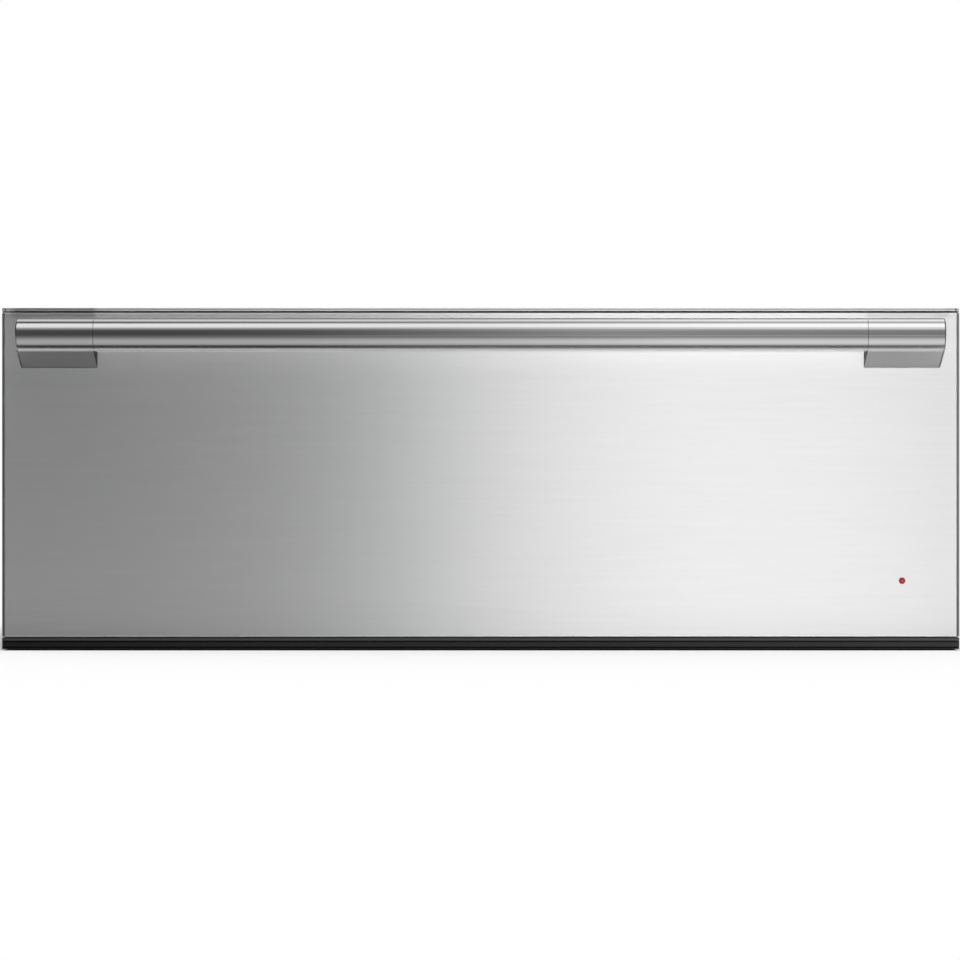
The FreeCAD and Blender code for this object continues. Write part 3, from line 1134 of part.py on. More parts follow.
# ---------------------------------------------------------------- telescopic runners
# Depths are counted from the liner's wall inwards, heights from the rails' centre line.
OUTER_HALF = RAIL_HEIGHT / 2
OUTER_OPEN = RAIL_THICK - OUTER_STEP                        # open side of the outer rail
MIDDLE_WEB = RAIL_WALL + CAGE_WALL + 2 * CAGE_PLAY
MIDDLE_OPEN = RAIL_THICK - RAIL_WALL - MIDDLE_STEP
INNER_EDGE = MIDDLE_WEB + RAIL_WALL + CAGE_WALL + 4 * CAGE_PLAY
OUTER_CAGE = RAIL_WALL + CAGE_PLAY
INNER_CAGE = MIDDLE_WEB + RAIL_WALL + CAGE_PLAY
INNER_ROOM = MIDDLE_OPEN - RAIL_WALL - INNER_CAGE - CAGE_WALL
BALL_R = BALL_FILL_RATIO * INNER_ROOM
ROW_GAP = 2 * (BALL_R + BALL_PLAY)
MIDDLE_HALF = OUTER_HALF - RAIL_WALL - ROW_GAP
INNER_HALF = MIDDLE_HALF - RAIL_WALL - ROW_GAP
OUTER_ROW = MIDDLE_HALF + ROW_GAP / 2                       # ball rows between the rails
INNER_ROW = INNER_HALF + ROW_GAP / 2
OUTER_BALL = (OUTER_CAGE + CAGE_WALL + OUTER_OPEN - RAIL_WALL) / 2
INNER_BALL = (INNER_CAGE + CAGE_WALL + MIDDLE_OPEN - RAIL_WALL) / 2


def rail_block(depth0, depth1, y0, y1, low, high):
    return block(CAVITY_HALF - depth1, CAVITY_HALF - depth0, y0, y1, RAIL_Z + low, RAIL_Z + high)


def channel(depth0, depth1, half, web_depth, lip):
    """A C-shaped rail with its web at web_depth and, with a lip, rolled edges at depth1."""
    pieces = [rail_block(web_depth, web_depth + RAIL_WALL, RAIL_Y, RAIL_END, -half, half)]
    for low, high in ((half - RAIL_WALL, half), (-half, RAIL_WALL - half)):
        pieces.append(rail_block(depth0, depth1, RAIL_Y, RAIL_END, low, high))
    if lip:
        for low, high in ((half - RAIL_WALL - lip, half), (-half, RAIL_WALL + lip - half)):
            pieces.append(rail_block(depth1 - RAIL_WALL, depth1, RAIL_Y, RAIL_END, low, high))
    return fused(pieces)


def outer_rail():
    stop = rail_block(0, OUTER_OPEN, RAIL_END, RAIL_END + RAIL_WALL, -OUTER_HALF, OUTER_HALF)
    return fused(channel(0, OUTER_OPEN, OUTER_HALF, 0, RAIL_LIP), stop)


def middle_rail():
    return channel(MIDDLE_WEB, MIDDLE_OPEN, MIDDLE_HALF, MIDDLE_WEB, RAIL_LIP)


def inner_rail():
    web = RAIL_THICK - RAIL_WALL
    nose = rail_block(web, RAIL_THICK, INNER_Y, RAIL_Y, -INNER_HALF, INNER_HALF)
    holes = [drill(X, (TUB_HALF, y, RAIL_Z), RAIL_WALL, TUB_SCREW_R) for y in runner_screw_run()]
    return without(fused(channel(INNER_EDGE, RAIL_THICK, INNER_HALF, web, 0), nose), holes)


def ball_cage(depth, reach, row, ball_depth):
    """A bent strip that spaces two rows of balls, and the balls in it."""
    y0 = RAIL_Y + CAGE_START
    y1 = y0 + BALL_PITCH * BALL_COUNT
    half = row + CAGE_WALL / 2
    strip = fused(rail_block(depth, depth + CAGE_WALL, y0, y1, -half, half),
                  rail_block(depth, reach, y0, y1, half - CAGE_WALL, half),
                  rail_block(depth, reach, y0, y1, -half, CAGE_WALL - half))
    places = [Vector(CAVITY_HALF - ball_depth, y0 + BALL_PITCH * (i + 0.5), RAIL_Z + side * row)
              for i in range(BALL_COUNT) for side in (-1, 1)]
    holes = [drill(Z, place - Z * CAGE_WALL, 2 * CAGE_WALL, BALL_R + BALL_PLAY) for place in places]
    return [strip.cut(holes)] + [Part.makeSphere(BALL_R, place) for place in places]


def outer_cage():
    return ball_cage(OUTER_CAGE, OUTER_OPEN - RAIL_WALL - CAGE_PLAY, OUTER_ROW, OUTER_BALL)


def inner_cage():
    return ball_cage(INNER_CAGE, MIDDLE_OPEN - RAIL_WALL - CAGE_PLAY, INNER_ROW, INNER_BALL)


# ---------------------------------------------------------------- build and write
def build_casing():
    keep("top_panel", top_panel())
    right = side_panel()
    keep("side_panel_right", right)
    keep("side_panel_left", mirrored(right))
    keep("base_pan", base_pan())
    keep("rear_panel", rear_panel())
    keep("front_frame", front_frame())
    keep("vent_trim", vent_trim())
    keep("rubber_feet", [foot(x, y) for x, y in foot_places()])
    keep("foot_screws", [foot_screw(x, y) for x, y in foot_places()])
    keep("casing_screws", [casing_screw(point, outward) for point, outward in screw_places()])
    keep("trim_screws", [trim_screw(x) for x in trim_screw_run()])
    keep("cable_gland", cable_gland())


def build_cavity():
    keep("oven_liner", oven_liner())
    names = ("top", "bottom", "right", "left", "rear")
    for name, blanket in zip(names, blankets()):
        keep(name + "_insulation", blanket)
    keep("heating_element", heating_element())
    keep("heater_stands", heater_stands())
    keep("temperature_probe", temperature_probe())
    keep("thermal_cutout", thermal_cutout())


def build_fan():
    keep("fan_cover", fan_cover())
    keep("fan_impeller", fan_impeller())
    keep("fan_shaft", fan_shaft())
    keep("motor_core", motor_core())
    keep("motor_coil", motor_coil())
    keep("motor_bridges", motor_bridges())
    keep("motor_bracket", motor_bracket())


def build_electrics():
    keep("power_board", power_board())
    keep("terminal_block", terminal_block())
    keep("wiring_loom", wiring_loom())
    keep("control_panel", control_panel())
    keep("control_board", control_board())
    for i, name in enumerate(BUTTON_NAMES):
        keep(name, button(i))
    keep("indicator_led", indicator_led())


def build_drawer():
    keep("front_panel", front_panel())
    keep("front_inner_panel", front_inner_panel())
    keep("front_insulation", front_insulation())
    keep("drawer_seal", drawer_seal())
    keep("indicator_lens", indicator_lens())
    keep("handle_tube", handle_tube())
    bracket = handle_bracket()
    keep("handle_bracket_right", bracket)
    keep("handle_bracket_left", mirrored(bracket))
    keep("handle_backing_plates", backing_plates())
    keep("handle_screws", [handle_screw(x) for x in handle_screw_run()])
    keep("drawer_tub", drawer_tub())
    keep("tub_screws", tub_screws())
    keep("glass_plate", glass_plate())
    keep("anti_slip_mat", anti_slip_mat())


def build_runners():
    for name, rail in (("outer_rail", outer_rail()), ("middle_rail", middle_rail()),
                       ("inner_rail", inner_rail())):
        keep(name + "_right", rail)
        keep(name + "_left", mirrored(rail))
    for name, pieces in (("outer_ball_cages", outer_cage()), ("inner_ball_cages", inner_cage())):
        keep(name, pieces, [mirrored(piece) for piece in pieces])


def write():
    os.makedirs("parts", exist_ok=True)
    for name, solids in PARTS.items():
        shape = solids[0] if len(solids) == 1 else Part.makeCompound(solids)
        shape.exportStep(os.path.join("parts", name + ".step"))


build_casing()
build_cavity()
build_fan()
build_electrics()
build_drawer()
build_runners()
write()
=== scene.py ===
import math

import bpy
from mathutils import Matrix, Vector


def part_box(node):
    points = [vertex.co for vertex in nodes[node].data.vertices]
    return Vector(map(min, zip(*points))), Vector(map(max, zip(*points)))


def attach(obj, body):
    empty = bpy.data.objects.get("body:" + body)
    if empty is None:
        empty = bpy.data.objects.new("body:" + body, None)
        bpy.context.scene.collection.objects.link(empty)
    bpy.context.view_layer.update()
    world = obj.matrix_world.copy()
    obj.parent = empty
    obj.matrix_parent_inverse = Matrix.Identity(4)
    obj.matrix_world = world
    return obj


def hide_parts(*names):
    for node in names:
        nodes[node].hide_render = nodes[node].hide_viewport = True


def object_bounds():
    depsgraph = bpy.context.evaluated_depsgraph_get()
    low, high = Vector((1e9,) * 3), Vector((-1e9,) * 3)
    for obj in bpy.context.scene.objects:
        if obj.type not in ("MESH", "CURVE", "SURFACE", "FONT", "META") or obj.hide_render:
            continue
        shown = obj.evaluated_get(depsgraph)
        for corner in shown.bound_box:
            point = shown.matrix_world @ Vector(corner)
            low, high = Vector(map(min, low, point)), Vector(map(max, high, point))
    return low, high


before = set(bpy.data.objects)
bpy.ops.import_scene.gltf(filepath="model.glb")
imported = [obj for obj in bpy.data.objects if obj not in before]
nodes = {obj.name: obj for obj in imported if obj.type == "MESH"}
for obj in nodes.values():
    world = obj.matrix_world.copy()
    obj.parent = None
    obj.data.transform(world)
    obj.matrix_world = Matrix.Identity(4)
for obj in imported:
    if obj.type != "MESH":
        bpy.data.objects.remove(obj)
casing_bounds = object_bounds()
MM = 0.001


# ---------------------------------------------------------------- places taken from the frame
FRONT_LOW, FRONT_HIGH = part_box("front_panel")
TUBE_LOW, TUBE_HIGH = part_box("handle_tube")
BRACKET_LOW, BRACKET_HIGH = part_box("handle_bracket_right")
TRIM_LOW, TRIM_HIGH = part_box("vent_trim")
BRACKET_INNER = TUBE_HIGH.x + 0.3 * MM
FACE_Y = FRONT_LOW.y


# ---------------------------------------------------------------- camera
CAMERA_REACH = 4.6              # face to the camera
CAMERA_HEIGHT = 0.1346
CAMERA_SIDE = -0.0005
SENSOR = 36.0
FRAME_WIDTH = 0.7578            # what the picture takes in at the face

camera_data = bpy.data.cameras.new("camera")
camera_data.sensor_width = SENSOR
camera_data.lens = SENSOR * CAMERA_REACH / FRAME_WIDTH
camera_data.clip_end = 40.0
camera = bpy.data.objects.new("camera", camera_data)
camera.location = (CAMERA_SIDE, FACE_Y - CAMERA_REACH, CAMERA_HEIGHT)
camera.rotation_euler = (math.radians(90), 0, 0)
bpy.context.collection.objects.link(camera)
bpy.context.scene.camera = camera
bpy.context.scene.view_settings.view_transform = "Standard"


# ---------------------------------------------------------------- finishes: nodes written as plain sums
class Wire:
    """A shader socket that takes part in plain sums; each sum adds its Math node."""

    def __init__(self, finish, socket):
        self.finish = finish
        self.socket = socket

    def maths(self, operation, *others):
        sockets = dict(enumerate((self, *others)))
        return self.finish.node("ShaderNodeMath", {"operation": operation}, sockets)

    def __add__(self, other):
        return self.maths("ADD", other)

    def __sub__(self, other):
        return self.maths("SUBTRACT", other)

    def __rsub__(self, other):
        return self.finish.node("ShaderNodeMath", {"operation": "SUBTRACT"}, {0: other, 1: self})

    def __mul__(self, other):
        return self.maths("MULTIPLY", other)

    def __truediv__(self, other):
        return self.maths("DIVIDE", other)

    __radd__ = __add__
    __rmul__ = __mul__


class Finish:
    """One finish and its nodes, in a material or in the world."""

    def __init__(self, owner):
        self.owner = owner
        owner.use_nodes = True
        self.tree = owner.node_tree
        self.tree.nodes.clear()

    def node(self, kind, settings=None, sockets=None, output=0):
        """Adds a node: its settings first, then the values or wires of its sockets."""
        made = self.tree.nodes.new(kind)
        for name, value in (settings or {}).items():
            if name == "stops":
                self.set_stops(made.color_ramp, value)
            else:
                setattr(made, name, value)
        for key, value in (sockets or {}).items():
            if isinstance(value, Wire):
                self.tree.links.new(value.socket, made.inputs[key])
            else:
                made.inputs[key].default_value = value
        return Wire(self, made.outputs[output]) if made.outputs else None

    def set_stops(self, ramp, stops):
        while len(ramp.elements) < len(stops):
            ramp.elements.new(0.5)
        for element, (position, tone) in zip(ramp.elements, stops):
            element.position = position
            element.color = (tone, tone, tone, 1) if isinstance(tone, float) else (*tone, 1)

    def place(self, stretch=(1, 1, 1), turn=(0, 0, 0), shift=(0, 0, 0)):
        """The piece's own coordinates in metres, shifted, turned and stretched."""
        own = self.node("ShaderNodeTexCoord", output="Object")
        return self.node("ShaderNodeMapping", {},
                         {"Vector": own, "Location": shift, "Rotation": turn, "Scale": stretch})

    def along(self, axis):
        own = self.node("ShaderNodeTexCoord", output="Object")
        return self.node("ShaderNodeSeparateXYZ", {}, {0: own}, output=axis)

    def noise(self, scale, stretch=(1, 1, 1), detail=2.0, rough=0.5, warp=0.0):
        return self.node("ShaderNodeTexNoise", {},
                         {"Vector": self.place(stretch), "Scale": scale, "Detail": detail,
                          "Roughness": rough, "Distortion": warp})

    def cells(self, scale, stretch=(1, 1, 1), output="Distance", **settings):
        return self.node("ShaderNodeTexVoronoi", settings,
                         {"Vector": self.place(stretch), "Scale": scale}, output=output)

    def ramp(self, value, *stops):
        return self.node("ShaderNodeValToRGB", {"stops": stops}, {0: value})

    def off_plane(self, axis):
        """Distance from the middle plane, on either side of it."""
        return self.along(axis).maths("ABSOLUTE")

    def rising(self, value, over):
        """0 up to nothing, then rising to 1 over a width."""
        return self.ramp(value / over, (0.0, 0.0), (1.0, 1.0))

    def falling(self, value, over):
        """1 up to nothing, then falling to 0 over a width."""
        return self.ramp(value / over, (0.0, 1.0), (1.0, 0.0))

    def line(self, distance, half, core=0.7):
        """1 on a line at no distance, fading from its core to its edges."""
        return self.ramp(distance.maths("ABSOLUTE") / half, (core, 1.0), (1.0, 0.0))

    def mix(self, factor, first, second):
        first, second = ((*c, 1) if isinstance(c, tuple) else c for c in (first, second))
        return self.node("ShaderNodeMix", {"data_type": "RGBA"}, {0: factor, 6: first, 7: second}, output=2)

    def bump(self, height, depth, strength=1.0):
        """A Bump node; depth is in metres."""
        return self.node("ShaderNodeBump", {}, {"Strength": strength, "Distance": depth, "Height": height})

    def surface(self, colour, roughness, metallic=0.0, normal=None, **fixed):
        """The Principled surface; fixed values go straight on their sockets."""
        sockets = {"Base Color": (*colour, 1) if isinstance(colour, tuple) else colour,
                   "Roughness": roughness, "Metallic": metallic}
        if normal:
            sockets["Normal"] = normal
        for name, value in fixed.items():
            sockets[name.replace("_", " ")] = value
        shader = self.node("ShaderNodeBsdfPrincipled", {}, sockets)
        self.node("ShaderNodeOutputMaterial", {}, {"Surface": shader})
        return self.owner


def finish(name):
    return Finish(bpy.data.materials.new(name))


GRAIN_FINE = 2600.0             # scratches per metre across the grain
GRAIN_LONG = 18.0               # and along it
BAND_FINE = 330.0               # broader bands in the grain, per metre across it
BAND_LONG = 14.0                # and along it


def grain_stretch(axis, across=GRAIN_FINE, along=GRAIN_LONG):
    stretch = [across] * 3
    stretch[axis] = along
    return tuple(stretch)


def hair_lines(f, axis):
    return f.noise(1.0, grain_stretch(axis), detail=3.0, rough=0.6)


def brushing(f, axis):
    """A straight grain along one axis: its fine lines, longer bands and faint clouds."""
    band = f.noise(1.0, grain_stretch(axis, BAND_FINE, BAND_LONG), detail=2.0)
    return hair_lines(f, axis), band, f.noise(7.0, detail=3.0, rough=0.55)


def brushed(name, colour, roughness, axis, mottle=0.04, scratch=0.00002, **fixed):
    """Plain brushed steel with a grain along one axis."""
    f = finish(name)
    hair, band, cloud = brushing(f, axis)
    tone = 1 + (hair - 0.5) * mottle + (band - 0.5) * mottle + (cloud - 0.5) * mottle * 0.3
    shade = f.node("ShaderNodeVectorMath", {"operation": "SCALE"}, {0: colour, "Scale": tone})
    rough = roughness * (0.94 + (cloud * 0.08) + (hair * 0.04))
    return f.surface(shade, rough, 1.0, f.bump(hair, scratch) if scratch else None, **fixed)


# ---------------------------------------------------------------- steel and coated sheet
SIDE_BEND = 2.7 * MM            # width of the bend along each side of the front, darkened with painted shade
EDGE_LIGHT = 1.2 * MM           # height of the painted highlight line along the front's top and bottom
EDGE_FADE = 0.2 * MM            # in which such a line ends
BRACKET_SPAN = 63.0 * MM        # width of the shade that a bracket throws up
FOOT_SHADE_HALF = 0.55 * MM          # half the height of the painted contact shadow under a bracket's foot
HEM_END = 2.6 * MM              # from the top panel's end to the seam of its folded corner
DARK_LINE = 3.0 * MM            # from the bar's foot up to the painted dark reflection line along it
DARK_HALF = 1.0 * MM            # half the height of that line
LIP_HEIGHT = 1.7 * MM           # of the lip along the bar's foot
LIP_NONMETAL = 0.42                 # share of the lip made non-metal, so that diffuse light lightens it
REFLECTION_RISE = 0.4 * MM            # the lip's painted reflection on the face: its middle over the bar's foot
REFLECTION_HALF = 0.7 * MM            # and half its height
HEM_LINE_HALF = 0.5 * MM            # half the width of a line in the hem: the painted shade along its middle and the seam at its folded corner
DRAWN_DEPTH = 0.002 * MM        # of the bar's grain


def grey(f, tone):
    return f.node("ShaderNodeCombineColor", {}, {0: tone, 1: tone, 2: tone})


def bracket_shade(f, depth, slant):
    """Light that reaches the steel above the bar: less over each bracket, least on the left."""
    reach = f.off_plane("X") - BRACKET_INNER
    over_bracket = f.rising(reach, 4 * MM) * f.falling(reach - BRACKET_SPAN, 8 * MM)
    return 1 - over_bracket * (depth - slant * f.along("X"))


def front_steel():
    """The brushed face, with painted light and shade: painted shade on its side bends, under each bracket's
    foot, over the brackets above the bar and towards the bottom, most on the left; painted light under the
    bar; painted highlights along its top and bottom edges; and a painted reflection of the bar's lip.
    """
    f = finish("brushed_front")
    hair, band, cloud = brushing(f, 0)
    height = f.along("Z")
    rise = (height - FRONT_LOW.z) / (FRONT_HIGH.z - FRONT_LOW.z)
    reach = f.off_plane("X")
    # painted shade on the side bends, deeper towards the bottom
    bend = f.rising(reach - (FRONT_HIGH.x - SIDE_BEND), 0.4 * MM)
    above = f.rising(height - TUBE_HIGH.z, 3 * MM)
    # painted light under the bar, making up for the light that the bar keeps off the face
    below = f.rising(height - (TUBE_LOW.z - 20 * MM), 20 * MM) * (1 - above)
    within = reach.maths("LESS_THAN", BRACKET_HIGH.x - 0.4 * MM)
    under_foot = reach.maths("GREATER_THAN", BRACKET_INNER) * within
    # painted contact shadow along the joint under each bracket's foot
    joint_shade = f.line(height - BRACKET_LOW.z, FOOT_SHADE_HALF, 0.85) * under_foot
    # painted highlight lines along the top and bottom edges
    top_edge = f.rising(height - (FRONT_HIGH.z - EDGE_LIGHT), EDGE_FADE)
    foot_edge = f.rising(FRONT_LOW.z + EDGE_LIGHT - height, EDGE_FADE)
    # painted shade over the brackets above the bar, and towards the bottom, most on the left
    shading = (1 - bend * (0.56 - 0.25 * rise)) * (1 - above * (1 - bracket_shade(f, 0.3, 0.3)))
    shading = shading * (1 + (1 - rise) * (0.12 * f.along("X") - 0.09)) * (1 - joint_shade * 0.6)
    plain = 0.78 + below * 0.04 + (hair + band - 1) * 0.045 + (cloud - 0.5) * 0.02
    tone = (plain + (top_edge + foot_edge) * (0.99 - plain)) * shading
    return f.surface(grey(f, tone * painted_lip_reflection(f)), 0.2785 + (cloud - 0.5) * 0.015, 1.0,
                     Anisotropic=0.735, Anisotropic_Rotation=0.25)


def bar_lip(f):
    """1 on the bar's lip, which is its lowest part, made partly non-metal and lightened with a painted
    highlight, and 0 above.
    """
    return f.ramp((f.along("Z") - TUBE_LOW.z) / LIP_HEIGHT, (0.8, 1.0), (1.0, 0.0))


def painted_lip_reflection(f):
    """Painted reflection of the bar's lip on the face, level with it: lighter on the left, darker on the
    right.
    """
    between = f.off_plane("X").maths("LESS_THAN", BRACKET_INNER)
    share = f.line(f.along("Z") - TUBE_LOW.z - REFLECTION_RISE, REFLECTION_HALF) * between
    darker = f.ramp((f.along("X") + 0.2) / 0.5, (0.0, 0.0), (0.3, 0.75), (1.0, 1.0)) * 0.5
    return 1 + share * (0.28 - darker)


def bar_tone(f):
    """Polished metal's tone round the bar: a painted dark reflection line near its foot, darkest on the
    left, and under that line a lip lightened with a painted highlight.
    """
    height = f.along("Z") - TUBE_LOW.z
    dark = f.line(height - DARK_LINE, DARK_HALF, 0.5)
    dark_tone = f.ramp((f.along("X") + 0.16) / 0.16, (0.0, 0.42), (1.0, 0.98))
    plain = 0.86 + bar_lip(f) * 0.04
    return plain + dark * (dark_tone - plain)


def bar_steel():
    """Polished bar with a faint drawn grain, darkened with painted shade where it meets the brackets."""
    f = finish("polished_bar")
    hair = hair_lines(f, 0)
    cloud = f.noise(9.0, detail=3.0)
    joint_shade = f.falling(TUBE_HIGH.x - f.off_plane("X"), 0.6 * MM)
    tone = bar_tone(f) + (hair - 0.5) * 0.03 - joint_shade * 0.15
    metallic = 1 - bar_lip(f) * LIP_NONMETAL
    return f.surface(grey(f, tone), 0.07 + cloud * 0.02, metallic, f.bump(hair, DRAWN_DEPTH))


def bracket_steel():
    """The handle's castings: a polished nose like the bar's, with its painted line and lip; a blasted
    underside with painted shade, dark on the left and lighter on the right; and ends darkened with painted
    shade, the inner end faces also made dull and non-metal.
    """
    f = finish("bracket_steel")
    hair = hair_lines(f, 0)
    cloud = f.noise(9.0, detail=3.0)
    reach = f.off_plane("X")
    height = f.along("Z") - TUBE_LOW.z
    under = f.falling(height + 0.9 * MM, 0.9 * MM)
    foot = f.ramp(height / (4.5 * MM), (0.8, 1.0), (1.0, 0.0))
    outer = f.rising(reach - (BRACKET_HIGH.x - 1.2 * MM) + foot * 0.5 * MM, 0.4 * MM)
    inner = f.rising(BRACKET_INNER + 0.4 * MM - reach, 0.3 * MM)
    end_face = inner * f.falling(height, 0.3 * MM)
    nose_tone = bar_tone(f)
    # painted shade on the underside, darker on the left
    under_tone = 0.63 + f.along("X") * 0.42
    tone = nose_tone + under * (under_tone - nose_tone) + (hair - 0.5) * 0.03
    # painted shade on the outer and inner ends
    tone = tone * (1 - outer * 0.75) * (1 - inner * 0.4 - end_face * (0.45 - 0.25 * f.along("X")))
    rough = 0.07 + under * 0.38 + end_face * 0.45 + cloud * 0.02
    metallic = 1 - end_face * 0.95 - bar_lip(f) * (1 - under) * (1 - end_face) * LIP_NONMETAL
    return f.surface(grey(f, tone), rough, metallic, f.bump(hair, DRAWN_DEPTH))


def case_steel():
    """The casing's brushed sheet: side panels darkened with painted shade, and a folded hem along the top
    panel's front, lightened with a painted highlight, with painted shade along its middle and over the
    brackets and a dark seam at each folded corner.
    """
    f = finish("case_steel")
    hair, band, cloud = brushing(f, 1)
    low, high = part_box("top_panel")
    side = f.rising(f.off_plane("X") - (FRONT_HIGH.x - 0.4 * MM), EDGE_FADE)
    hem = f.rising(low.y + 0.4 * MM - f.along("Y"), EDGE_FADE)
    hem_middle_shade = f.line(f.along("Z") - (low.z + high.z) / 2, HEM_LINE_HALF, 0.6)
    end_seam = f.line(high.x - HEM_END - f.off_plane("X"), HEM_LINE_HALF)
    # painted shade: the side panels darker
    plain = 0.78 - side * 0.18 + (hair + band - 1) * 0.05 + (cloud - 0.5) * 0.03
    # the hem lighter than the sheet as a painted highlight, with painted shade along its middle and over
    # the brackets; its corner seams dark
    hem_tone = (0.93 - hem_middle_shade * 0.4) * bracket_shade(f, 0.2, 0.6) * (1 - end_seam * 0.7)
    tone = plain + hem * (hem_tone - plain)
    return f.surface(grey(f, tone), 0.36 + cloud * 0.04, 1.0, f.bump(hair * (1 - hem), 0.00001))


def tub_steel():
    return brushed("tub_steel", (0.74, 0.74, 0.73), 0.33, 0, mottle=0.05)


def spangled_zinc():
    """Hot-dip zinc: feathered crystals, each with its own tone and gloss, and a few dull marks."""
    f = finish("spangled_zinc")
    crystal = f.node("ShaderNodeSeparateColor", {}, {0: f.cells(110.0, output="Color")})
    feather = f.noise(900.0, (1, 0.25, 1), detail=2.0, warp=1.5)
    stain = f.noise(9.0, detail=5.0, rough=0.6)
    tone = crystal * 0.6 + feather * 0.25 + stain * 0.15
    shade = f.ramp(tone, (0.15, (0.40, 0.42, 0.44)), (0.5, (0.50, 0.52, 0.535)),
                   (0.85, (0.64, 0.66, 0.67)))
    edge = f.cells(110.0, feature="DISTANCE_TO_EDGE")
    rough = 0.34 + crystal * 0.16 + stain * 0.1
    return f.surface(shade, rough, 1.0, f.bump(edge, 0.00015, 0.3))


def aluminised_sheet():
    """Aluminised liner steel: bright, softly speckled, with a little heat tint."""
    f = finish("aluminised_sheet")
    speck = f.noise(1500.0, detail=3.0, rough=0.65)
    flow = f.noise(1.0, (30.0, 9.0, 14.0), detail=4.0, rough=0.55)
    shade = f.ramp(flow * 0.7 + speck * 0.3, (0.3, (0.52, 0.51, 0.49)), (0.7, (0.68, 0.68, 0.67)))
    return f.surface(shade, 0.3 + flow * 0.2, 1.0, f.bump(speck, 0.00004))


def plated_zinc():
    """Bright zinc plate on the runners, with drawn lines along their length."""
    f = finish("plated_zinc")
    drawn = f.noise(1.0, grain_stretch(1, 1500.0, 6.0), detail=2.0)
    tint = f.noise(14.0, detail=4.0, rough=0.6)
    shade = f.ramp(tint * 0.6 + drawn * 0.4, (0.3, (0.50, 0.53, 0.56)), (0.55, (0.62, 0.64, 0.65)),
                   (0.75, (0.70, 0.69, 0.63)))
    return f.surface(shade, 0.22 + tint * 0.16, 1.0, f.bump(drawn, 0.00001))


def ball_steel():
    f = finish("ball_steel")
    film = f.noise(260.0, detail=3.0)
    shade = f.ramp(film, (0.3, (0.66, 0.66, 0.66)), (0.7, (0.82, 0.82, 0.81)))
    return f.surface(shade, 0.1 + film * 0.12, 1.0)


def screw_steel():
    """Nickel-plated screws with turned rings and a little wear."""
    f = finish("screw_steel")
    wear = f.noise(700.0, detail=4.0, rough=0.6)
    shade = f.ramp(wear, (0.35, (0.46, 0.46, 0.45)), (0.65, (0.70, 0.69, 0.67)))
    return f.surface(shade, 0.2 + wear * 0.2, 1.0, f.bump(wear, 0.00002))


def lamination_stack():
    f = finish("lamination_stack")
    leaf = (f.along("Y") * 2000.0).maths("SINE") * 0.5 + 0.5
    rust = f.noise(180.0, detail=4.0)
    shade = f.ramp(leaf * 0.5 + rust * 0.5, (0.3, (0.10, 0.10, 0.11)), (0.7, (0.27, 0.26, 0.25)))
    return f.surface(shade, 0.5, 0.7, f.bump(leaf, 0.00006))


# ---------------------------------------------------------------- plastics, rubbers, glass
def moulded(name, colour, roughness, grit=1400.0, depth=0.00003, speckle=0.12, **fixed):
    """Moulded plastic or rubber: a fine eroded texture and slight tone changes."""
    f = finish(name)
    skin = f.noise(grit, detail=3.0, rough=0.6)
    cloud = f.noise(16.0, detail=3.0)
    tone = 1 + (skin - 0.5) * speckle + (cloud - 0.5) * speckle
    shade = f.node("ShaderNodeVectorMath", {"operation": "SCALE"}, {0: colour, "Scale": tone})
    return f.surface(shade, roughness + (cloud - 0.5) * 0.12, 0.0, f.bump(skin, depth), **fixed)


def trim_plastic():
    """Black plastic with painted light and shade: its upper blade lighter, its lowest blade darker, and all
    of them lighter towards the right.
    """
    f = finish("trim_plastic")
    skin = f.noise(2200.0, detail=3.0, rough=0.6)
    low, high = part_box("vent_trim")
    rise = (f.along("Z") - low.z) / (high.z - low.z)
    upper = f.ramp(rise, (0.72, 0.0), (0.74, 1.0))
    lower = f.ramp(rise, (0.14, 1.0), (0.16, 0.0))
    # painted light and shade: lighter towards the right, the upper blade lighter and the lowest darker
    middle_tone = 0.021 + f.along("X") * 0.042
    tone = middle_tone + upper * (0.074 - middle_tone + f.along("X") * 0.06) - lower * middle_tone * 0.6
    tone = tone * (0.9 + skin * 0.2)
    return f.surface(grey(f, tone), 0.5 + skin * 0.1, 0.0, f.bump(skin, 0.00002), Specular_IOR_Level=0.3)


def gland_nylon():
    return moulded("gland_nylon", (0.025, 0.025, 0.027), 0.5)


def foot_rubber():
    return moulded("foot_rubber", (0.03, 0.03, 0.031), 0.75, grit=1800.0, depth=0.00006)


def seal_silicone():
    return moulded("seal_silicone", (0.16, 0.16, 0.17), 0.55, grit=900.0, depth=0.00003,
                   Sheen_Weight=0.15)


def mat_silicone():
    return moulded("mat_silicone", (0.055, 0.057, 0.062), 0.6, grit=1600.0, depth=0.00005,
                   Sheen_Weight=0.1)


def lamp_plastic():
    return moulded("lamp_plastic", (0.75, 0.2, 0.18), 0.25)


def panel_plastic():
    return moulded("panel_plastic", (0.018, 0.018, 0.02), 0.2, grit=2600.0, depth=0.000006,
                   Coat_Weight=0.3)


MARK_LINE = 0.3 * MM            # half width of a mark's line
HAND_LINE = 0.25 * MM           # and of the clock's hands
MARK_REACH = 2.0 * MM           # from a mark's middle to its outer edge
LIT_REACH = 30.0 * MM           # level lights that are on, as far as this from the timer button


def off_middle(f, node, axis):
    """How far a point is from the middle of a CAD node, along one axis."""
    low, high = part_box(node)
    return f.along(axis) - (low["XYZ".index(axis)] + high["XYZ".index(axis)]) / 2


def round_middle(f, node):
    """How far a point is from the middle of a CAD node, as the front shows it."""
    x, z = off_middle(f, node, "X"), off_middle(f, node, "Z")
    return (x * x + z * z).maths("SQRT")


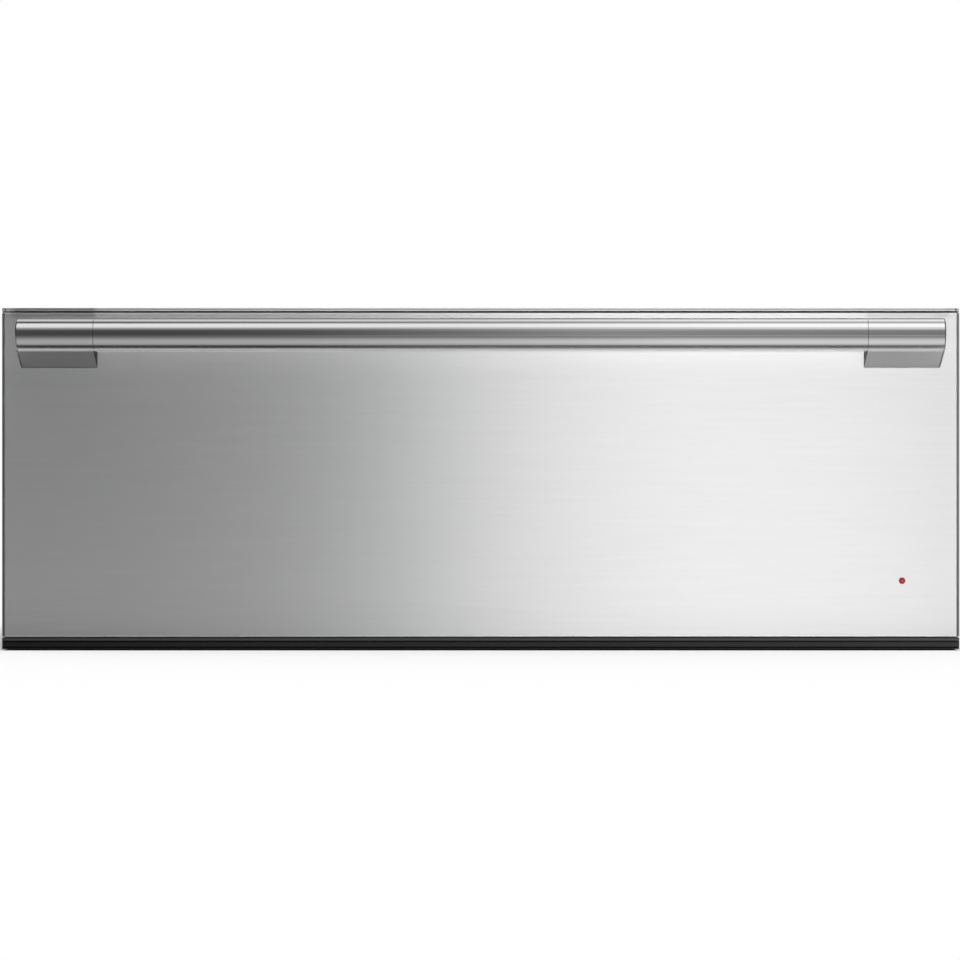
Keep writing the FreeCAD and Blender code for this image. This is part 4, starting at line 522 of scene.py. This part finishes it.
def power_mark(f):
    """A ring, open at its top, with a short upright line."""
    x, z = off_middle(f, "power_button", "X"), off_middle(f, "power_button", "Z")
    reach = round_middle(f, "power_button")
    opening = f.line(x, 0.9 * MM) * z.maths("GREATER_THAN", 0)
    ring = f.line(reach - (MARK_REACH - MARK_LINE), MARK_LINE) * (1 - opening)
    return ring.maths("MAXIMUM", f.line(x, MARK_LINE) * f.line(z - 1.1 * MM, 1.1 * MM))


def heat_mark(f):
    """Three waves side by side."""
    x, z = off_middle(f, "temperature_button", "X"), off_middle(f, "temperature_button", "Z")
    bent = x - (z * 2400.0).maths("SINE") * 0.35 * MM
    step = 1.4 * MM
    wave = (bent / step + 0.5).maths("FRACT") - 0.5
    return f.line(wave * step, MARK_LINE) * f.line(bent, MARK_REACH) * f.line(z, MARK_REACH)


def clock_mark(f):
    """A ring with two hands."""
    x, z = off_middle(f, "timer_button", "X"), off_middle(f, "timer_button", "Z")
    ring = f.line(round_middle(f, "timer_button") - (MARK_REACH - MARK_LINE), MARK_LINE)
    upright = f.line(x, HAND_LINE) * f.line(z - 0.6 * MM, 0.8 * MM)
    level = f.line(z, HAND_LINE) * f.line(x - 0.5 * MM, 0.7 * MM)
    return ring.maths("MAXIMUM", upright.maths("MAXIMUM", level))


def button_plastic():
    """Satin grey caps with a printed mark on each: power, heat and time."""
    f = finish("button_plastic")
    skin = f.noise(1400.0, detail=3.0, rough=0.6)
    cap = (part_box("power_button")[0].y + 0.05 * MM - f.along("Y")) * 1000000.0
    mark = power_mark(f).maths("MAXIMUM", heat_mark(f)).maths("MAXIMUM", clock_mark(f))
    mark = mark * cap.maths("GREATER_THAN", 0)
    tone = (0.5 + (skin - 0.5) * 0.06) * (1 - mark) + mark * 0.03
    return f.surface(grey(f, tone), 0.38 - mark * 0.1, 0.0, f.bump(skin, 0.00001))


def terminal_plastic():
    return moulded("terminal_plastic", (0.74, 0.71, 0.62), 0.5)


def wire_sleeve():
    return moulded("wire_sleeve", (0.06, 0.06, 0.07), 0.45)


def cutout_ceramic():
    return moulded("cutout_ceramic", (0.78, 0.75, 0.68), 0.7, grit=1100.0, depth=0.00008)


BOARD_THICKNESS = 1.6 * MM
BOARD_STAND = 8.0 * MM          # the power board's stand-offs
TRACK_PITCH = 2.54 * MM         # between the board's tracks


def circuit_board():
    """Green boards with patches of tracks and dark parts; the control board has amber level lights."""
    f = finish("circuit_board")
    patch = f.cells(70.0, distance="CHEBYCHEV", output="Color")
    upright = f.node("ShaderNodeSeparateColor", {}, {0: patch}).maths("GREATER_THAN", 0.5)
    across, upward = ((f.along(axis) / TRACK_PITCH).maths("FRACT") - 0.5 for axis in "XZ")
    copper = f.line(across, 0.2) * upright + f.line(upward, 0.2) * (1 - upright)
    weave = f.noise(2500.0, detail=1.0)
    base = f.mix(weave, (0.015, 0.12, 0.06), (0.03, 0.17, 0.09))
    board = f.mix(copper, base, (0.05, 0.27, 0.14))
    plate_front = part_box("control_board")[1].y - BOARD_THICKNESS
    standing = (plate_front - 0.1 * MM - f.along("Y")).maths("GREATER_THAN", 0)
    power_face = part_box("power_board")[1].y - BOARD_STAND - BOARD_THICKNESS
    at_rear = f.along("Y").maths("GREATER_THAN", 0)
    mounted = (power_face - 0.1 * MM - f.along("Y")).maths("GREATER_THAN", 0) * at_rear
    first_light = f.along("X").maths("GREATER_THAN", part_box("timer_button")[1].x + MM)
    lit = first_light * off_middle(f, "timer_button", "X").maths("LESS_THAN", LIT_REACH) * standing
    switch = f.mix(weave, (0.02, 0.02, 0.022), (0.03, 0.03, 0.032))
    lens = f.mix(weave, (0.42, 0.24, 0.1), (0.48, 0.28, 0.12))
    shade = f.mix(standing, f.mix(mounted, board, switch), f.mix(first_light, switch, lens))
    glow = f.mix(lit, (0.0, 0.0, 0.0), (1.0, 0.42, 0.08))
    raised = copper * (1 - standing) * (1 - mounted)
    f.owner.cycles.emission_sampling = "NONE"
    return f.surface(shade, 0.4 - first_light * 0.15, 0.0, f.bump(raised, 0.00003),
                     Emission_Color=glow, Emission_Strength=0.8)


def mineral_wool():
    """Pressed fibre: long tangled strands over soft lumps."""
    f = finish("mineral_wool")
    strand = f.noise(420.0, (1, 0.3, 1), detail=6.0, rough=0.75, warp=2.5)
    lump = f.noise(45.0, detail=4.0, rough=0.6)
    shade = f.ramp(strand * 0.6 + lump * 0.4, (0.3, (0.48, 0.42, 0.28)), (0.55, (0.72, 0.66, 0.50)),
                   (0.75, (0.86, 0.83, 0.72)))
    return f.surface(shade, 0.95, 0.0, f.bump(strand + lump, 0.0012))


def heater_sheath():
    """Fired nickel-alloy sheath: dark oxide with straw and blue heat tints."""
    f = finish("heater_sheath")
    oxide = f.noise(60.0, detail=5.0, rough=0.6)
    shade = f.ramp(oxide, (0.3, (0.06, 0.06, 0.07)), (0.5, (0.14, 0.12, 0.10)),
                   (0.7, (0.17, 0.16, 0.18)))
    return f.surface(shade, 0.42 + oxide * 0.2, 0.75, f.bump(oxide, 0.00006))


def coil_copper():
    """Enamelled winding wire laid side by side."""
    f = finish("coil_copper")
    turn = (f.along("X") * 9000.0).maths("SINE") * 0.5 + 0.5
    # painted shade and highlight: darker in the grooves between turns, lighter on their crowns
    shade = f.ramp(turn, (0.0, (0.16, 0.05, 0.02)), (0.6, (0.56, 0.24, 0.10)), (1.0, (0.75, 0.38, 0.2)))
    return f.surface(shade, 0.3, 0.85, f.bump(turn, 0.0003))


def plate_glass():
    f = finish("plate_glass")
    smear = f.noise(12.0, detail=4.0, rough=0.6)
    return f.surface((0.86, 0.95, 0.92), 0.01 + smear * 0.05, 0.0, IOR=1.5, Transmission_Weight=1.0)


LENS_RADIUS = 2.5 * MM


def red_lens():
    """Red acrylic lens: deep at the rim, lit from behind at the middle."""
    f = finish("red_lens")
    reach = round_middle(f, "indicator_lens") / LENS_RADIUS
    glow = f.ramp(reach, (0.0, 1.0), (0.3, 0.65), (0.62, 0.1), (0.95, 0.0))
    flutes = f.noise(1500.0, detail=2.0)
    shade = f.mix(glow, (0.2, 0.008, 0.014), (0.5, 0.03, 0.045))
    light = f.mix(glow, (0.0, 0.0, 0.0), (0.55, 0.02, 0.03))
    return f.surface(shade, 0.14, 0.0, f.bump(flutes, 0.00001), Emission_Color=light,
                     Emission_Strength=0.7, Coat_Weight=0.6)


FINISHES = {
    "stainless_front": front_steel(),
    "stainless_case": case_steel(),
    "stainless_bar": bar_steel(),
    "stainless_tub": tub_steel(),
    "galvanised": spangled_zinc(),
    "aluminised": aluminised_sheet(),
    "zinc_rail": plated_zinc(),
    "ball_steel": ball_steel(),
    "screw_steel": screw_steel(),
    "laminated_steel": lamination_stack(),
    "trim_plastic": trim_plastic(),
    "gland_plastic": gland_nylon(),
    "foot_rubber": foot_rubber(),
    "seal_silicone": seal_silicone(),
    "mat_silicone": mat_silicone(),
    "mineral_wool": mineral_wool(),
    "plate_glass": plate_glass(),
    "red_lens": red_lens(),
    "lamp_plastic": lamp_plastic(),
    "panel_plastic": panel_plastic(),
    "button_plastic": button_plastic(),
    "element_sheath": heater_sheath(),
    "circuit_board": circuit_board(),
    "terminal_plastic": terminal_plastic(),
    "wire_sleeve": wire_sleeve(),
    "coil_copper": coil_copper(),
    "cutout_ceramic": cutout_ceramic(),
}

for node in nodes.values():
    for place in node.material_slots:
        place.material = FINISHES[place.material.name.split(".")[0]]

for name in ("handle_bracket_left", "handle_bracket_right"):
    nodes[name].material_slots[0].material = bracket_steel()


# ---------------------------------------------------------------- pieces modelled here
CLOSE = 0.01 * MM               # nearer than this counts as the same height


def deselect():
    bpy.ops.object.select_all(action="DESELECT")


def named(name):
    made = bpy.context.object
    made.name = name
    bpy.ops.object.transform_apply(location=True, rotation=True, scale=True)
    return made


def block(name, low, high):
    """A box between two corners."""
    deselect()
    low, high = Vector(low), Vector(high)
    bpy.ops.mesh.primitive_cube_add(size=1, location=(low + high) / 2, scale=high - low)
    return named(name)


def pick(made, kind, test):
    """Leaves the piece in edit mode with the parts selected whose middle passes the test."""
    bpy.ops.object.mode_set(mode="EDIT")
    bpy.ops.mesh.select_mode(type=kind)
    bpy.ops.mesh.select_all(action="DESELECT")
    bpy.ops.object.mode_set(mode="OBJECT")
    mesh = made.data
    parts = {"VERT": mesh.vertices, "EDGE": mesh.edges, "FACE": mesh.polygons}[kind]
    for part in parts:
        places = [mesh.vertices[index].co for index in getattr(part, "vertices", [part.index])]
        low = Vector(min(place[axis] for place in places) for axis in range(3))
        high = Vector(max(place[axis] for place in places) for axis in range(3))
        part.select = bool(test(low, high))
    bpy.ops.object.mode_set(mode="EDIT")


def round_off(made, test, radius, segments=4):
    """Rounds the edges whose two corners pass the test."""
    pick(made, "EDGE", test)
    bpy.ops.mesh.bevel(offset=radius, offset_type="OFFSET", segments=segments, profile=0.5)
    bpy.ops.object.mode_set(mode="OBJECT")


def runs_along(axis):
    """A test for the edges that run along one axis only."""
    def test(low, high):
        return all((high[other] - low[other] > 0.1 * MM) == (other == axis) for other in range(3))

    return test


def apply_modifier(made, kind, **settings):
    modifier = made.modifiers.new(kind.lower(), kind)
    for key, value in settings.items():
        setattr(modifier, key, value)
    bpy.ops.object.modifier_apply(modifier=modifier.name)


def smooth(made, degrees=35):
    deselect()
    made.select_set(True)
    bpy.context.view_layer.objects.active = made
    bpy.ops.object.shade_smooth_by_angle(angle=math.radians(degrees))


def hand_over(made, body, slot, *stands_for):
    """Gives the piece its body and its slot's finish, and hides the CAD nodes that it stands for."""
    smooth(made)
    made.data.materials.clear()
    made.data.materials.append(FINISHES[slot])
    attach(made, body)
    if stands_for:
        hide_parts(*stands_for)


SEAL_WIDTH = 8.0 * MM
SEAL_CORNER = 9.0 * MM
SEAL_CROWN = 1.7 * MM           # rounding of the side that the casing presses


def seal_bulb():
    """The drawer's gasket: a ring with round corners and a crowned face."""
    low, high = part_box("drawer_seal")
    middle = ((low.x + high.x) / 2, low.y, (low.z + high.z) / 2)
    deselect()
    bpy.ops.mesh.primitive_plane_add(size=1, rotation=(math.radians(-90), 0, 0), location=middle)
    made = named("seal_bulb")
    pick(made, "FACE", lambda *ends: True)
    bpy.ops.transform.resize(value=(high.x - low.x, 1, high.z - low.z), center_override=middle)
    bpy.ops.mesh.inset(thickness=SEAL_WIDTH)
    bpy.ops.mesh.delete(type="FACE")
    bpy.ops.object.mode_set(mode="OBJECT")
    apply_modifier(made, "SOLIDIFY", thickness=high.y - low.y, offset=1.0)
    round_off(made, runs_along(1), SEAL_CORNER, 8)
    pick(made, "FACE", lambda first, last: first.y > high.y - CLOSE)
    bpy.ops.mesh.region_to_loop()
    bpy.ops.mesh.bevel(offset=SEAL_CROWN, offset_type="OFFSET", segments=5, profile=0.5)
    bpy.ops.object.mode_set(mode="OBJECT")
    hand_over(made, "drawer", "seal_silicone", "drawer_seal")


MAT_CORNER = 14.0 * MM
MAT_DOT_RADIUS = 2.6 * MM
MAT_DOT_PITCH = 12.0 * MM
MAT_DOT_HEIGHT = 0.5 * MM
MAT_DOT_EDGE = 0.45 * MM        # rounding of a dot's top
MAT_DOT_ROOT = 0.6 * MM         # a dot's foot inside the mat
MAT_RIM = 7.0 * MM


def dotted_mat():
    """The loose silicone mat on the drawer's floor, with a plain rim and rows of grip dots."""
    low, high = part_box("anti_slip_mat")
    top = high.z - MAT_DOT_HEIGHT
    mat = block("dotted_mat", low, (high.x, high.y, top))
    round_off(mat, runs_along(2), MAT_CORNER, 8)
    pick(mat, "FACE", lambda first, last: first.z > top - CLOSE)
    bpy.ops.mesh.inset(thickness=MAT_RIM)
    bpy.ops.mesh.inset(thickness=0.3 * MM, depth=-0.3 * MM)
    bpy.ops.object.mode_set(mode="OBJECT")

    span_x = high.x - low.x - 2 * MAT_RIM - MAT_DOT_PITCH
    span_y = high.y - low.y - 2 * MAT_RIM - MAT_DOT_PITCH
    columns = round(span_x / MAT_DOT_PITCH)
    rows = round(span_y / MAT_DOT_PITCH)
    start_x = (low.x + high.x - columns * MAT_DOT_PITCH) / 2
    start_y = (low.y + high.y - rows * MAT_DOT_PITCH) / 2
    foot = top - MAT_DOT_ROOT
    deselect()
    bpy.ops.mesh.primitive_cylinder_add(vertices=12, radius=MAT_DOT_RADIUS, depth=high.z - foot,
                                        location=(start_x, start_y, (high.z + foot) / 2))
    dot = named("mat_dot")
    round_off(dot, lambda first, last: first.z > high.z - CLOSE, MAT_DOT_EDGE, 2)
    apply_modifier(dot, "ARRAY", count=columns + 1, use_relative_offset=False, use_constant_offset=True,
                   constant_offset_displace=(MAT_DOT_PITCH, 0, 0))
    apply_modifier(dot, "ARRAY", count=rows + 1, use_relative_offset=False, use_constant_offset=True,
                   constant_offset_displace=(0, MAT_DOT_PITCH, 0))
    mat.select_set(True)
    dot.select_set(True)
    bpy.context.view_layer.objects.active = mat
    bpy.ops.object.join()
    hand_over(mat, "drawer", "mat_silicone", "anti_slip_mat")


PAD_LENGTH = 7.0 * MM
PAD_CLEARANCE = 0.2 * MM        # over the drawer front's top
PAD_INSET = 0.4 * MM            # from the casing's outer faces


def gap_pad(name, side):
    """A silicone pad under the top panel's front corner, which closes the end of the gap there."""
    low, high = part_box("top_panel")
    ends = sorted((side * (high.x - PAD_INSET), side * (high.x - PAD_INSET - PAD_LENGTH)))
    made = block(name, (ends[0], low.y + PAD_INSET * 2, FRONT_HIGH.z + PAD_CLEARANCE),
                 (ends[1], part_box("front_frame")[0].y, low.z))
    round_off(made, lambda first, last: last.z < FRONT_HIGH.z + 2 * PAD_CLEARANCE, 0.3 * MM, 3)
    hand_over(made, "casing", "seal_silicone")


seal_bulb()
dotted_mat()
gap_pad("gap_pad_left", -1)
gap_pad("gap_pad_right", 1)


# ---------------------------------------------------------------- room: floor, world, lamps, cards
FLOOR_HALF = 9.0
FLOOR_GLOW = 0.55               # share of plain white in the open floor, as the eye and mirrors see it
GLOW_START = 0.33               # from the middle of the object to where that white comes in
GLOW_FULL = 1.2
WORLD_LEVEL = 0.5               # what the world gives to dull surfaces
SUN_LEVEL = 0.65                # and the soft sun, on a surface that faces it


def shown_rays(f):
    """1 for the rays that show the background: to the eye, in metal and through glass."""
    eye, mirror, glass = (f.node("ShaderNodeLightPath", output=f"Is {kind} Ray")
                          for kind in ("Camera", "Glossy", "Transmission"))
    return eye.maths("MAXIMUM", mirror).maths("MAXIMUM", glass)


def flat_sheet(name, low, high):
    """A flat rectangle between two corners that share one coordinate."""
    middle = (Vector(low) + Vector(high)) / 2
    reach = (Vector(high) - Vector(low)) / 2
    flat_axis = min(range(3), key=lambda axis: abs(reach[axis]))
    turn = [(0, math.radians(90), 0), (math.radians(90), 0, 0), (0, 0, 0)][flat_axis]
    deselect()
    bpy.ops.mesh.primitive_plane_add(size=2, location=(0, 0, 0), rotation=turn)
    made = bpy.context.object
    made.name = name
    bpy.ops.object.transform_apply(location=True, rotation=True, scale=True)
    made.scale = [max(abs(part), MM) for part in reach]
    made.location = middle
    bpy.ops.object.transform_apply(location=True, rotation=True, scale=True)
    return made


def studio_floor():
    f = finish("studio_floor")
    paper = f.noise(300.0, detail=3.0)
    shade = f.mix(paper, (0.92, 0.92, 0.92), (0.95, 0.95, 0.95))
    plain = f.node("ShaderNodeEmission", {}, {"Color": (1, 1, 1, 1), "Strength": 1.0})
    # painted shadow: the floor darkened under the casing's footprint
    under_x = f.rising(TRIM_HIGH.x - f.off_plane("X"), 2 * MM)
    under_front = f.rising(f.along("Y") - TRIM_LOW.y, 2 * MM)
    under_rear = f.rising(casing_bounds[1].y - f.along("Y"), 30 * MM)
    shade = f.mix(under_x * under_front * under_rear * 0.98, shade, (0.01, 0.01, 0.01))
    lit = f.node("ShaderNodeBsdfDiffuse", {}, {"Color": shade})
    off = (f.off_plane("X") - 0.08).maths("MAXIMUM", f.off_plane("Y"))
    open_floor = f.rising(off - GLOW_START, GLOW_FULL - GLOW_START)
    share = shown_rays(f) * open_floor * FLOOR_GLOW
    f.node("ShaderNodeOutputMaterial", {},
           {"Surface": f.node("ShaderNodeMixShader", {}, {0: share, 1: lit, 2: plain})})
    f.owner.cycles.emission_sampling = "NONE"
    return f.owner


def light_world():
    world = bpy.data.worlds.new("studio")
    bpy.context.scene.world = world
    f = Finish(world)
    strength = WORLD_LEVEL + shown_rays(f) * (1 - WORLD_LEVEL)
    lit = f.node("ShaderNodeBackground", {}, {"Color": (1, 1, 1, 1), "Strength": strength})
    f.node("ShaderNodeOutputWorld", {}, {"Surface": lit})
    world.cycles.sampling_method = "NONE"


def lamp(name, kind, place, aim, energy, **settings):
    data = bpy.data.lights.new(name, kind)
    data.energy = energy
    for key, value in settings.items():
        setattr(data, key, value)
    made = bpy.data.objects.new(name, data)
    made.location = place
    made.rotation_euler = (Vector(aim) - Vector(place)).to_track_quat("-Z", "Y").to_euler()
    made.visible_camera = False
    bpy.context.collection.objects.link(made)
    return made


def card(name, low, high, strength, *grades):
    """A graded card that only reflections see; a grade is an axis, its two ends and its stops."""
    made = flat_sheet(name, low, high)
    f = finish(name)
    glow = strength
    for axis, start, end, stops in grades:
        glow = f.ramp((f.along(axis) - start) / (end - start), *stops) * glow
    light = f.node("ShaderNodeEmission", {}, {"Color": (1, 1, 1, 1), "Strength": glow})
    f.node("ShaderNodeOutputMaterial", {}, {"Surface": light})
    f.owner.cycles.emission_sampling = "NONE"
    made.data.materials.append(f.owner)
    made.visible_camera = False
    made.visible_diffuse = False
    made.visible_shadow = False
    made.visible_transmission = False
    return made


floor = flat_sheet("studio_floor", (-FLOOR_HALF, -FLOOR_HALF, 0), (FLOOR_HALF, FLOOR_HALF, 0))
floor.data.materials.append(studio_floor())
light_world()

sun = lamp("soft_sun", "SUN", (0.6, -1.6, 3.0), (0, 0, 0), SUN_LEVEL * math.pi, angle=math.radians(50))
sun.visible_glossy = False

card("front_card", (-3.4, -3.2, 0), (3.4, -3.2, 1.9), 1.4,
     ("X", -1.0, 1.0, [(0.0, 0.07), (0.28, 0.062), (0.39, 0.086), (0.5, 0.19), (0.58, 0.29),
                       (0.66, 0.25), (0.8, 0.205), (1.0, 0.2)]),
     ("Z", 0.0, 1.9, [(0.0, 0.71), (0.6, 0.71), (0.78, 0.82), (1.0, 1.0)]))
card("front_top_card", (-3.4, -3.2, 1.9), (3.4, -3.2, 3.0), 1.0,
     ("X", -1.0, 1.0, [(0.0, 0.4), (0.4, 0.42), (0.5, 0.66), (0.6, 0.85), (0.75, 0.95), (1.0, 0.9)]),
     ("Z", 1.9, 3.0, [(0.0, 0.32), (0.25, 0.42), (0.48, 0.62), (1.0, 0.95)]))
card("left_card", (-3.4, -3.2, 0), (-3.4, 3.4, 3.0), 1.0,
     ("Y", -3.2, 3.4, [(0.0, 0.07), (0.6, 0.11), (1.0, 0.2)]))
card("right_card", (3.4, -3.2, 0), (3.4, 3.4, 3.0), 1.0,
     ("Y", -3.2, 3.4, [(0.0, 0.2), (0.6, 0.3), (1.0, 0.4)]))
card("rear_card", (-3.4, 3.4, 0), (3.4, 3.4, 3.0), 1.0,
     ("Z", 0.0, 3.0, [(0.0, 0.45), (0.3, 0.3), (0.6, 0.2), (1.0, 0.2)]))
card("far_table_card", (-3.4, -3.2, 0.002), (3.4, -1.25, 0.002), 1.5,
     ("X", -1.0, 1.0, [(0.0, 0.07), (0.28, 0.07), (0.39, 0.095), (0.5, 0.19), (0.58, 0.27),
                       (0.66, 0.25), (1.0, 0.25)]),
     ("Y", -3.2, -1.25, [(0.0, 0.62), (0.4, 0.7), (1.0, 1.0)]))
card("table_card", (-3.4, -1.25, 0.002), (3.4, -0.262, 0.002), 1.0,
     ("X", -0.4, 0.4, [(0.0, 0.57), (0.3, 0.6), (0.5, 0.75), (0.72, 1.0), (1.0, 0.95)]),
     ("Y", -1.25, -0.262, [(0.0, 0.2), (0.3, 0.27), (0.5, 0.42), (0.68, 0.64), (0.8, 0.72),
                           (0.87, 0.66), (0.93, 0.34), (0.965, 0.04), (1.0, 0.02)]))
card("ceiling_card", (-3.4, -3.2, 3.0), (3.4, -0.63, 3.0), 1.1,
     ("X", -0.7, 0.7, [(0.0, 0.78), (0.45, 0.8), (0.75, 1.0)]),
     ("Y", -3.2, -0.63, [(0.0, 0.42), (0.29, 0.88), (0.45, 1.0)]))
card("rear_ceiling_card", (-3.4, 0.38, 3.0), (3.4, 3.4, 3.0), 1.0,
     ("X", -0.7, 0.7, [(0.0, 0.66), (0.45, 0.7), (0.75, 0.95)]),
     ("Y", 0.42, 3.4, [(0.0, 0.85), (0.2, 1.0), (0.4, 1.0), (0.8, 0.5), (1.0, 0.3)]))
card("ceiling_gap", (-3.4, -0.63, 3.01), (3.4, 0.42, 3.01), 1.0,
     ("X", -0.7, 0.7, [(0.0, 0.08), (0.5, 0.3), (0.75, 0.48)]))


def group(name, *members):
    made = bpy.data.collections.new(name)
    for member in members:
        made.objects.link(nodes[member])
    return made


face_and_top = group("face_and_top", "front_panel", "top_panel")
unshaded = group("unshaded", "rubber_feet")


def window(name, place, width, height, brightness):
    """A lit window for the face and the top panel, which the handle doesn't shade."""
    power = brightness * math.pi * width * height
    made = lamp(name, "AREA", place, (place[0], FACE_Y, CAMERA_HEIGHT), power,
                shape="RECTANGLE", size=width, size_y=height)
    made.data.cycles.use_multiple_importance_sampling = False
    made.light_linking.receiver_collection = face_and_top
    made.light_linking.blocker_collection = unshaded


window("wide_window", (0, -3.0, 0.15), 3.2, 1.1, 0.28)
window("right_window", (0.337, -3.0, 0.15), 0.765, 1.1, 1.18)
